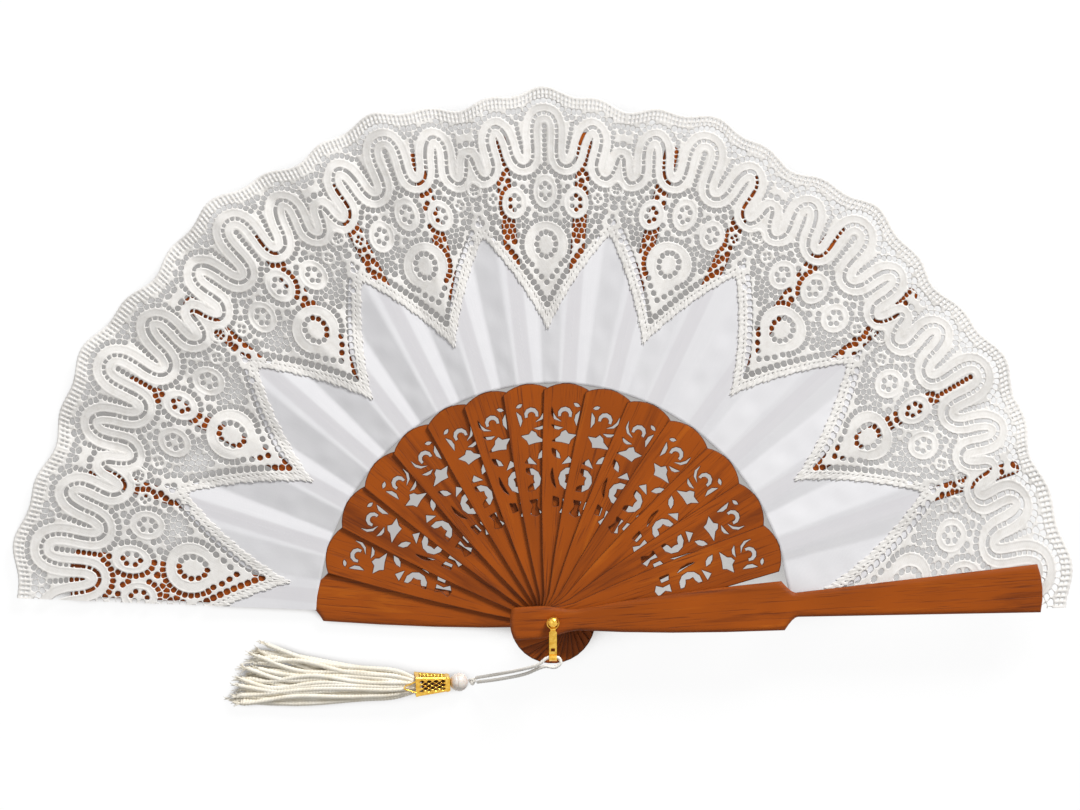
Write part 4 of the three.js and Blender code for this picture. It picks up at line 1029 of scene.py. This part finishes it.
set_bump(CLOTH, shader, math_node(CLOTH, "MULTIPLY_ADD", slubs, 2.0, weave), 0.02 * MM, 0.6)
print("cloth", [round(c, 3) for c in CLOTH_PALE[:3]])

# %% [markdown]
# ## The fifteen gores of cloth
# The cloth begins behind the blades' scalloped tops, on a straight line from rib to rib, and ends
# under the lace, whose points it follows. It is cut and given two skins just as the lace is.

# %% Cloth
CLOTH_COLUMNS, CLOTH_STEP = 72, 0.8  # points across a gore, and millimetres between its rows
CLOTH_MIDDLE, CLOTH_HALF, HEM = 0.18, 0.16, 0.4
CLOTH_INNER, CLOTH_STOP = 103.1, 180.0  # from the rivet
CLOTH_UNDER = (3.4, 2.9)  # depth under the pointed edge, and what is added on a petal's inner side
RIB_SHADE = (0.5, 0.9)  # beyond a rib's edge, where its shade ends, and how softly


def cloth_gore(k):
    """Gore k of the cloth: between a straight inner edge, the chord from rib to rib, and an outer
    edge that follows the lace's points and runs further under the sides that face the fan's
    middle. Two rows of the grid lie close to the inner edge, so that its rounding stays as thin
    as the cloth."""
    offset, r = gore_grid(k, CLOTH_COLUMNS, CLOTH_INNER - CLOTH_STEP, CLOTH_STOP + 1, CLOTH_STEP)
    v = place_in_petal(k, offset)
    inner_side = np.clip(-8 * v * np.sin(np.radians(STICK_ANGLES[k] + offset)), 0, 1)
    under = (CLOTH_UNDER[0] + CLOTH_UNDER[1] * inner_side) * np.hypot(1, pointed_slope(v))
    outer = np.minimum(pointed_edge(k, offset) + under, CLOTH_STOP)
    half_turn = math.radians(WIDTHS[k]) / 2
    turn = np.clip(np.radians(offset) - half_turn, -half_turn, half_turn)
    inner = CLOTH_INNER * math.cos(half_turn) / np.cos(turn)
    r[0], r[1] = inner[0] - HEM, inner[1] + HEM / 4
    field = np.minimum(r - inner, outer - r)
    cut, last = cut_from_grid(field), r.shape[1] - 1
    offset, r, field = (at_fraction(a, cut[0]) for a in (offset, r, field))
    half = CLOTH_HALF * lens(4 * field / HEM)
    middle, lift = on_leaf(k, offset, r, CLOTH_MIDDLE), half[:, None] * [0, 0, 1]
    away = np.minimum(np.abs(offset), np.abs(WIDTHS[k] - offset))
    rib = np.clip((RIB_HALF + RIB_SHADE[0] - np.radians(away) * r) / RIB_SHADE[1], 0, 1)
    skins = middle + lift, middle - lift
    return gore_piece("cloth", k, cut, last, offset, r, *skins, CLOTH, rib_behind=rib)


made = [cloth_gore(k) for k in range(FRONT)]
print("last cloth gore", round(made[-1][1]), "square mm, cut from", made[-1][2].round(), "mm")

# %% [markdown]
# ## The tassel's cord
# One thin cord of three twisted plies is looped through the strap's eye, and both of its halves
# run down to the knot. It is limp, but so short that it holds its bow from the strap to the
# table. Each half is a twisted tube carried along its half of the loop. Cord and tassel are
# thread, so they are made here, along the same points that the CAD model uses.

# %% A smooth way through points, and tubes along it
def through(points, per=24):
    """A centripetal Catmull-Rom curve: it passes through every point with the slope that its
    neighbours give, where time runs with the square root of the distance."""
    p = np.asarray(points, float)
    p = np.vstack([2 * p[0] - p[1], p, 2 * p[-1] - p[-2]])
    time = np.sqrt(np.linalg.norm(np.diff(p, axis=0), axis=1))[:, None]
    d0, d1, d2 = time[:-2], time[1:-1], time[2:]
    slope = np.diff(p, axis=0) / time
    start = (slope[:-2] - (p[2:-1] - p[:-3]) / (d0 + d1) + slope[1:-1]) * d1
    stop = (slope[1:-1] - (p[3:] - p[1:-2]) / (d1 + d2) + slope[2:]) * d1
    t = np.linspace(0, 1, per, endpoint=False)[None, :, None]
    a, b = p[1:-2, None], p[2:-1, None]
    way = (2 * t**3 - 3 * t**2 + 1) * a + (t**3 - 2 * t**2 + t) * start[:, None]
    way = way + (3 * t**2 - 2 * t**3) * b + (t**3 - t**2) * stop[:, None]
    return np.vstack([way.reshape(-1, 3), p[-2]])


def run_along(way):
    """The length along a way at each of its points."""
    return np.concatenate([[0], np.cumsum(np.linalg.norm(np.diff(way, axis=0), axis=1))])


def even_way(way, step):
    """The same way with points an even step apart, and the length at each."""
    run = run_along(way)
    at = np.linspace(0, run[-1], max(3, round(run[-1] / step)))
    return np.stack([np.interp(at, run, way[:, i]) for i in range(3)], -1), at


def twisted(ways, along, radius, around, plies, pitch, groove=0.2):
    """Twisted tubes along one or many ways, as points and faces.

    Round each point of a way stands a ring in the plane square to it. The ring's radius falls by
    the groove between two plies, as the size of a cosine does, and the plies turn once in a pitch.
    The first and last ring are closed with one flat face."""
    ways = np.asarray(ways, float)
    ways = ways[None] if ways.ndim == 2 else ways
    ahead = np.gradient(ways, axis=1)
    ahead /= np.linalg.norm(ahead, axis=-1, keepdims=True)
    side = np.cross(ahead, [0, 0, 1.0])
    side /= np.linalg.norm(side, axis=-1, keepdims=True)
    up = np.cross(side, ahead)
    turn = np.linspace(0, 2 * np.pi, around, endpoint=False)
    phase = plies / 2 * (turn - 2 * np.pi * np.asarray(along)[..., None] / (pitch * plies) * 2)
    reach = np.asarray(radius)[..., None] * (1 - groove + groove * np.abs(np.cos(phase)))
    ring = np.cos(turn)[:, None] * side[:, :, None] + np.sin(turn)[:, None] * up[:, :, None]
    points = ways[:, :, None] + reach[..., None] * ring
    many, rings = ways.shape[:2]
    ids = np.arange(many * rings * around).reshape(many, rings, around)
    nxt = np.roll(ids, -1, axis=2)
    skin = np.stack([ids[:, :-1], ids[:, 1:], nxt[:, 1:], nxt[:, :-1]], -1).reshape(-1, 4)
    return points.reshape(-1, 3), [skin, ids[:, 0], ids[:, -1, ::-1]]


def yarn_material(name, pale, dark):
    """Twisted rayon yarn: pale, with a silky sheen and fine stretched fibres."""
    material, shader = new_material(name)
    where = add_node(material, "TexCoord").outputs["Object"]
    fibres = noise(material, where, 2600, 3, 0.65)
    clouds = noise(material, where, 160, 3, 0.55)
    shade = math_node(material, "MULTIPLY_ADD", fibres, 0.5, math_node(material, "MULTIPLY", clouds, 0.5))
    tone = colour_steps(material, shade, [(0.36, dark), (0.62, pale)])
    values = {"Base Color": tone, "Roughness": 0.55, "Sheen Weight": 0.35, "Sheen Roughness": 0.3}
    feed(material, shader, values)
    set_bump(material, shader, fibres, 0.06 * MM, 0.7)
    return material


def on_tassel(piece, node=None):
    """The piece rides on the tassel's body, and the CAD node, if one is given, is hidden."""
    if node:
        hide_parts(node)
    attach(piece, "tassel")


YARN = yarn_material("cord_yarn", srgb(249, 246, 240), srgb(234, 229, 219))
print("a quarter circle through 3 points:", len(through([(1, 0, 0), (0.7, 0.7, 0), (0, 1, 0)])), "points")

# %% [markdown]
# ## Both halves of the loop
# From the strap's eye one half runs down to the left at once, and the other goes round the eye's
# right side first. Then they lie side by side over the stack of heads and fall to the knot. The
# points are the CAD route's own, and the smooth curve passes through every one of them.

# %% The two halves of the cord
CORD_RADIUS, CORD_PLIES = 0.75, (3.4, 0.16)  # the plies' pitch, and the groove between them
EYE_LEVEL, EYE_AT, CLEAR = 28.05, -15.55, 19.6  # the strap's eye, and how far the cord keeps from the rivet
KNOT_AT = np.array([-35.039, -26.983, 5.084])
AWAY, ACROSS = np.array([0.96, 0.28, 0]), np.array([-0.28, 0.96, 0])


def by_heads(degrees, lower):
    """A place just outside the stack of rounded heads."""
    turn = math.radians(degrees)
    return (-CLEAR * math.sin(turn), -CLEAR * math.cos(turn), EYE_LEVEL - lower)


def at_knot(side):
    """Where a half of the cord enters the knot."""
    return KNOT_AT + 2.0 * AWAY + side * ACROSS


HALVES = {
    "tassel_cord_upper": [
        (0, EYE_AT, EYE_LEVEL), (-2.4, EYE_AT, EYE_LEVEL), by_heads(19, 0.4),
        (-12.5, -20.6, 23.85), (-24, -23.5, 12.5), at_knot(1),
    ],
    "tassel_cord_lower": [
        (0, EYE_AT, EYE_LEVEL), (2.4, EYE_AT, EYE_LEVEL), (3.3, -17.575, EYE_LEVEL), by_heads(-3, 0),
        by_heads(10, 0.7), (-12, -22.8, 22.85), (-24, -25.8, 12.5), at_knot(-1),
    ],
}
for name, points in HALVES.items():
    way, along = even_way(through(points), 0.3)
    where, faces = twisted(way, along[None], np.full((1, len(way)), CORD_RADIUS), 18, 3, *CORD_PLIES)
    piece = new_piece(name, where, faces, YARN)
    on_tassel(piece, "tassel_cord")
    print(name, round(along[-1], 1), "mm")

# %% [markdown]
# ## The knot
# An overhand knot holds the loop together above the bead. A trefoil is that knot's own line, a
# sum of two turning circles, so a short formula draws it and the tube helper gives it plies.

# %% Knot
KNOT_SIZE, KNOT_RADIUS, KNOT_PLIES = 0.42, 0.62, (2.8, 0.16)
CAP_WAY = np.array([-0.9935, -0.046, 0.105])
CAP_WAY /= np.linalg.norm(CAP_WAY)
SIDE = np.cross(CAP_WAY, [0, 0, 1.0])
SIDE /= np.linalg.norm(SIDE)
RISE = np.cross(SIDE, CAP_WAY)
turn = np.linspace(0, 2 * np.pi, 97)
trefoil = KNOT_SIZE * np.stack([
    np.sin(turn) + 2 * np.sin(2 * turn), np.cos(turn) - 2 * np.cos(2 * turn), -1.35 * np.sin(3 * turn)
], -1)
knot_way = KNOT_AT + trefoil[:, :1] * CAP_WAY + trefoil[:, 1:2] * SIDE * 0.95 + trefoil[:, 2:] * RISE
run = run_along(knot_way)
where, faces = twisted(knot_way, run[None], np.full((1, len(run)), KNOT_RADIUS), 14, 3, *KNOT_PLIES)
knot = new_piece("tassel_knot_tied", where, faces, YARN)
on_tassel(knot, "tassel_knot")
print("knot", (where.max(0) - where.min(0)).round(2), "mm")

# %% [markdown]
# ## The bead
# The bead is turned from pale stone, with a shallow groove and a small dimple round its bore. A
# profile carried once round an axis is how a lathe makes it, and how it is made here.

# %% Bead
def turned(profile, foot, axis, side, rise, around):
    """A profile of radius and place along the axis, carried once round it."""
    angle = np.linspace(0, 2 * np.pi, around, endpoint=False)
    radius, along = np.asarray(profile, float).T
    spokes = np.cos(angle)[:, None] * side + np.sin(angle)[:, None] * rise
    points = foot + along[:, None, None] * axis + radius[:, None, None] * spokes[None]
    ids = np.arange(points.shape[0] * around).reshape(-1, around)
    nxt = np.roll(ids, -1, axis=1)
    skin = np.stack([ids[:-1], nxt[:-1], nxt[1:], ids[1:]], -1).reshape(-1, 4)
    return points.reshape(-1, 3), [skin]


BEAD_AT, BEAD_RADIUS, BEAD_BORE = np.array([-40.9, -27.4, 4.15]), 4.0, 1.0
GROOVE_DEPTH, GROOVE_PLACE = 0.22, (-0.24, 0.055)  # its place and width, as cosines on the ball
start = math.asin(BEAD_BORE / BEAD_RADIUS) + 0.12
swing = np.linspace(start, math.pi - start, 60)
groove = GROOVE_DEPTH * crest(np.cos(swing), *GROOVE_PLACE)
ball = np.stack([(BEAD_RADIUS - groove) * np.sin(swing), -(BEAD_RADIUS - groove) * np.cos(swing)], -1)
mouth = np.array([[BEAD_BORE, -BEAD_RADIUS + 0.5], [BEAD_BORE + 0.12, -BEAD_RADIUS + 0.2]])
profile = np.vstack([mouth, ball, mouth[::-1] * [1, -1], mouth[:1]])
where, faces = turned(profile, BEAD_AT, CAP_WAY, SIDE, RISE, 64)
bead_paint, shader = new_material("bead_pale")
place = add_node(bead_paint, "TexCoord").outputs["Object"]
veins = noise(bead_paint, place, 420, 5, 0.6, 1.2)
tone = colour_steps(
    bead_paint, veins, [(0.34, srgb(226, 200, 186)), (0.48, srgb(238, 227, 217)), (0.7, srgb(244, 238, 230))]
)
gloss = math_node(bead_paint, "MULTIPLY_ADD", veins, 0.3, 0.22)
feed(bead_paint, shader, {
    "Base Color": tone, "Roughness": gloss, "Coat Weight": 0.2,
    "Subsurface Weight": 0.1, "Subsurface Radius": (0.001, 0.0007, 0.0005),
})
set_bump(bead_paint, shader, veins, 0.04 * MM, 0.5)
bead = new_piece("tassel_bead_turned", where, faces, bead_paint)
on_tassel(bead, "tassel_bead")
print("bead", round(2 * BEAD_RADIUS, 1), "mm")

# %% [markdown]
# ## The filigree cap
# A stamped brass cap with four pierced sides holds the strands. It is drawn as lace was: a number
# is given at each place of the cap's wall, opened flat, and metal stands where it is above 0.
# Staggered pointed openings leave a lattice with a raised wire round each, and plain strips
# remain along the four edges and at both ends. Then the wall is bent round a rounded square.

# %% Cap
CAP_AT = BEAD_AT + CAP_WAY * (BEAD_RADIUS + 0.25)
CAP_LENGTH, CAP_TURN = 15.0, math.radians(14)
CAP_END = 2.6  # the flat end towards the bead, from its bore outwards
CAP_WALL = 0.24  # half the wall
# The cap's half width at places along it.
HALF_SIDES = ([0, 1.0, 1.8, CAP_LENGTH - 0.8, CAP_LENGTH], [3.0, 3.25, 3.1, 4.3, 4.5])
STRIP, STRIP_ENDS = 0.55, (1.7, 13.5)  # plain metal along the cap's edges and at its ends
OPENING, OPENING_POWER = (0.68, 1.05), 1.35  # half widths of an opening, and how pointed it is
OPENING_ROWS = {0: (-2.05, 0, 2.05), 1: (-1.05, 1.05)}  # places across in even and in odd rows
CORNER_POWER = 14


def rounded_square(angle, half):
    """Distance from the axis to a square's outline with soft corners: a circle of a high power."""
    c, s = np.abs(np.cos(angle)), np.abs(np.sin(angle))
    return half / (c**CORNER_POWER + s**CORNER_POWER) ** (1 / CORNER_POWER)


run, angle = np.meshgrid(
    np.arange(0, CAP_END + CAP_LENGTH + 0.07, 0.14), np.linspace(0, 2 * np.pi, 289), indexing="ij"
)
along = np.clip(run - CAP_END, 0, CAP_LENGTH)
half_side = np.interp(along, *HALF_SIDES)
half_side = np.where(run < CAP_END, 1.0 + (3.0 - 1.0) * run / CAP_END, half_side)
quarter = (angle + np.pi / 4) % (np.pi / 2) - np.pi / 4
across = half_side * np.tan(quarter)
to_edge = half_side - np.abs(across)
lattice = np.full(run.shape, 9.0)
for row, centre in enumerate(np.linspace(3.0, 12.2, 7)):
    for at in OPENING_ROWS[row % 2]:
        at = at * (0.86 + 0.03 * row)
        away = np.abs((across - at) / OPENING[0]), np.abs((along - centre) / OPENING[1])
        hole = 1 - (away[0] ** OPENING_POWER + away[1] ** OPENING_POWER) ** (1 / OPENING_POWER)
        lattice = np.minimum(lattice, -hole * 0.8)
frame_strip = (to_edge < STRIP) | (along < STRIP_ENDS[0]) | (along > STRIP_ENDS[1])
field = np.minimum(np.where(frame_strip, 0.6, lattice), CAP_END + CAP_LENGTH + 0.05 - run)
beads = (0.5 + 0.5 * np.cos(2 * np.pi * angle * 9 / np.pi)) * crest(along, 14.3, 0.5)
wire = crest(field, 0.2, 0.14) * ~frame_strip
wire += crest(to_edge, 0.45, 0.2) * (run > CAP_END)
points, outline, faces = cut_from_grid(field)
grids = (run, angle, along, half_side, field, 0.8 * beads + wire)
run, angle, along, half_side, field, relief = (at_fraction(a, points) for a in grids)
share = np.clip(field / 0.3, 0, 1)
half = CAP_WALL * lens(share)
radius = rounded_square(angle, half_side)
spoke = np.cos(angle + CAP_TURN)[:, None] * SIDE + np.sin(angle + CAP_TURN)[:, None] * RISE
middle = CAP_AT + along[:, None] * CAP_WAY + (radius - CAP_WALL)[:, None] * spoke
lift = half[:, None] * spoke - (0.8 * half * (run < CAP_END))[:, None] * CAP_WAY
raised = (0.2 * relief * share)[:, None] * spoke
where, faces = two_skins(points, outline, faces, middle + lift + raised, middle - lift)
CAP_BRASS = brass_material("brass_cap", 0.05)
cap = new_piece("tassel_cap_filigree", where, [f[:, ::-1] for f in faces], CAP_BRASS)
welded = bmesh.new()
welded.from_mesh(cap.data)
bmesh.ops.remove_doubles(welded, verts=welded.verts, dist=0.01 * MM)
welded.to_mesh(cap.data)
welded.free()
on_tassel(cap, "tassel_cap")
print("cap:", len(cap.data.polygons), "faces")

# %% [markdown]
# ## The cap's loops
# A small pointed loop of wire is soldered to the mouth of the cap, on the side that is seen and
# on the one below. Its outline is a power of the cosine, which gives the blunt point, and a tube
# follows it.

# %% The cap's loop
LOOP_LENGTH, LOOP_HALF, LOOP_WIRE = 5.2, 2.5, 0.36
turn = np.linspace(-math.pi / 2, math.pi / 2, 60)
for name, face in (("tassel_cap_loop_upper", 1), ("tassel_cap_loop_lower", 3)):
    lean = face * math.pi / 2 + CAP_TURN
    out_way = math.cos(lean) * SIDE + math.sin(lean) * RISE
    side_way = -math.sin(lean) * SIDE + math.cos(lean) * RISE
    reach = LOOP_LENGTH * np.cos(turn) ** 1.25
    sideways = LOOP_HALF * np.sin(turn) * (0.72 + 0.28 * np.cos(2 * turn) ** 2)
    way = CAP_AT + (CAP_LENGTH - 0.3 + reach)[:, None] * CAP_WAY + sideways[:, None] * side_way
    way = way + (4.25 + 0.1 * reach / LOOP_LENGTH)[:, None] * out_way
    where, faces = twisted(way, np.linspace(0, 14, 60)[None], np.full((1, 60), LOOP_WIRE), 10, 2, 60, 0.1)
    loop = new_piece(name, where, faces, CAP_BRASS)
    on_tassel(loop)
print("loops on the cap's upper and lower sides")

# %% [markdown]
# ## The strands
# The tassel's skirt is a bundle of soft cords, each two plies of rayon twisted together. They are
# squeezed in the cap, swell where they leave it, and spread over the table in two to three
# layers. Their ways come from a few numbers for each strand, and one call carries all the tubes.

# %% Strands
STRANDS, STRAND_RADIUS, STRAND_PITCH, SKIRT_LENGTH = 34, 1.12, 2.9, 78.0
PACKED_RADIUS, LAYERS, LAYER_HEIGHT = 3.3, 3, 1.65  # in the cap, and where they lie on the table
rng = np.random.default_rng(7)
number = np.arange(STRANDS)
golden = number * math.pi * (3 - math.sqrt(5))
packed = PACKED_RADIUS * np.sqrt((number + 0.5) / STRANDS)
start_side, start_rise = packed * np.cos(golden), packed * np.sin(golden)
order = np.argsort(np.argsort(start_side + 0.35 * rng.normal(size=STRANDS)))
spread = 2 * (order + 0.5) / STRANDS - 1
layer = np.argsort(np.argsort(start_rise)) * LAYERS // STRANDS
lengths = SKIRT_LENGTH * (0.94 - 0.08 * spread - 0.02 * spread**2 + 0.035 * rng.uniform(-1, 1, STRANDS))
f = np.linspace(-0.04, 1, 250)[None, :]
out = np.clip(f, 0, 1)
open_up = out**0.85 * (3 - out) / 2
# Each strand wanders from side to side in its own slow wave.
speed, phase = rng.uniform(0.8, 1.7, (STRANDS, 1)), rng.uniform(0, 1, (STRANDS, 1))
wander = rng.uniform(0.9, 2.4, STRANDS)[:, None] * np.sin(2 * np.pi * (f * speed + phase))
# Half the skirt's width: it opens at once beyond the cap's mouth, and then ever wider.
half_width = 3.4 * (1 - (1 - np.clip(5 * out, 0, 1)) ** 2) + 5.4 * out + 3.8 * out**2
side_at = start_side[:, None] * (1 - open_up) + half_width * spread[:, None] + 1.25 * wander * out**1.3
axis = CAP_AT + (CAP_LENGTH + f[..., None] * lengths[:, None, None]) * CAP_WAY
level = axis[..., 2] * (1 - open_up) + open_up * (0.2 + STRAND_RADIUS)
settle = 0.25 + 0.75 * (1 - np.clip(out * 1.25, 0, 1)) ** 0.8
rise_at = start_rise[:, None] * settle * (1 - 0.75 * open_up)
rise_at += layer[:, None] * LAYER_HEIGHT * open_up * (1 - 0.28 * out)
ways = np.stack([
    axis[..., 0],
    axis[..., 1] + 4.5 * out + 1.7 * out**2 + side_at,
    np.maximum(level + rise_at + 0.25 * wander * out * (layer[:, None] > 0), STRAND_RADIUS + 0.2),
], -1)
# Each strand is squeezed in the cap and swells beyond it, and is drawn in at its cut end.
swell = STRAND_RADIUS * (0.72 + 0.28 * np.clip(f / 0.12, 0, 1)) * np.ones((STRANDS, 1))
swell *= np.where(f > 0.99, 0.8, 1.0)
steps = np.linalg.norm(np.diff(ways, axis=1), axis=-1)
along = np.concatenate([np.zeros((STRANDS, 1)), np.cumsum(steps, axis=1)], 1)
along = along + rng.uniform(0, STRAND_PITCH, STRANDS)[:, None]
where, faces = twisted(ways, along, swell, 12, 2, STRAND_PITCH, 0.24)

FRAYS, FRAY_LENGTH, FRAY_RADIUS = 9, 3.6, 0.2  # loose fibres at each strand's cut end
end, ahead = ways[:, -1], ways[:, -1] - ways[:, -6]
ahead = ahead / np.linalg.norm(ahead, axis=1, keepdims=True)
lean = rng.normal(size=(STRANDS, FRAYS, 3)) * [0.35, 0.35, 0.12]
reach = FRAY_LENGTH * rng.uniform(0.35, 1, (STRANDS, FRAYS, 1, 1)) * np.linspace(-0.15, 1, 7)[:, None]
root = end[:, None] + 0.45 * STRAND_RADIUS * rng.uniform(-1, 1, (STRANDS, FRAYS, 3))
fray = root[:, :, None] + reach * (ahead[:, None, None] + lean[:, :, None] * np.linspace(0, 1, 7)[:, None])
fray[..., 2] = np.maximum(fray[..., 2], FRAY_RADIUS + 0.1)
fray = fray.reshape(-1, 7, 3)
thin = FRAY_RADIUS * np.array([1, 1, 1, 0.95, 0.9, 0.75, 0.5]) * np.ones((len(fray), 1))
loose, loose_faces = twisted(fray, np.zeros((len(fray), 7)), thin, 6, 2, STRAND_PITCH, 0.0)
faces = faces + [f + len(where) for f in loose_faces]
where = np.vstack([where, loose])
RAYON = yarn_material("skirt_rayon", srgb(250, 245, 233), srgb(236, 226, 205))
strands = new_piece("tassel_strands", where, faces, RAYON)
on_tassel(strands, "tassel_skirt")
print("strands:", STRANDS, "and", len(strands.data.polygons), "faces")

# %% [markdown]
# ## Painted shade in the cap
# Inside the cap, a dark brown plug stands for the shade round the strands' heads, and it shows
# through the piercing as the dark ground of the brass lattice. A ribbed profile turned round the
# cap's axis is enough, because so little of it is seen.

# %% Painted shade plug
SHADE_PLUG_TOP, SHADE_PLUG_MOUTH, SHADE_PLUG_PITCH = 2.3, 3.1, 0.5
step = np.linspace(0.6, CAP_LENGTH - 2.0, 160)
ridge = 0.12 * np.abs(np.sin(np.pi * step / SHADE_PLUG_PITCH))
radius = SHADE_PLUG_TOP + (SHADE_PLUG_MOUTH - SHADE_PLUG_TOP) * step / CAP_LENGTH + ridge
profile = np.stack([
    np.concatenate([[0.02], radius, [0.02]]), np.concatenate([step[:1], step, step[-1:]])
], -1)
# Painted shade: the plug's dark brown stands for the shade inside the cap.
thread, shader = new_material("shade_plug_brown")
fibres = noise(thread, add_node(thread, "TexCoord").outputs["Object"], 2200, 3, 0.6)
tone = colour_steps(thread, fibres, [(0.35, srgb(58, 30, 14)), (0.65, srgb(104, 62, 26))])
feed(thread, shader, {"Base Color": tone, "Roughness": 0.8})
plug, plug_faces = turned(profile, CAP_AT, CAP_WAY, SIDE, RISE, 48)
shade_plug = new_piece("tassel_shade_plug", plug, plug_faces, thread)
on_tassel(shade_plug, "tassel_skirt")
print("shade_plug", SHADE_PLUG_MOUTH, "mm in radius at the cap's mouth")
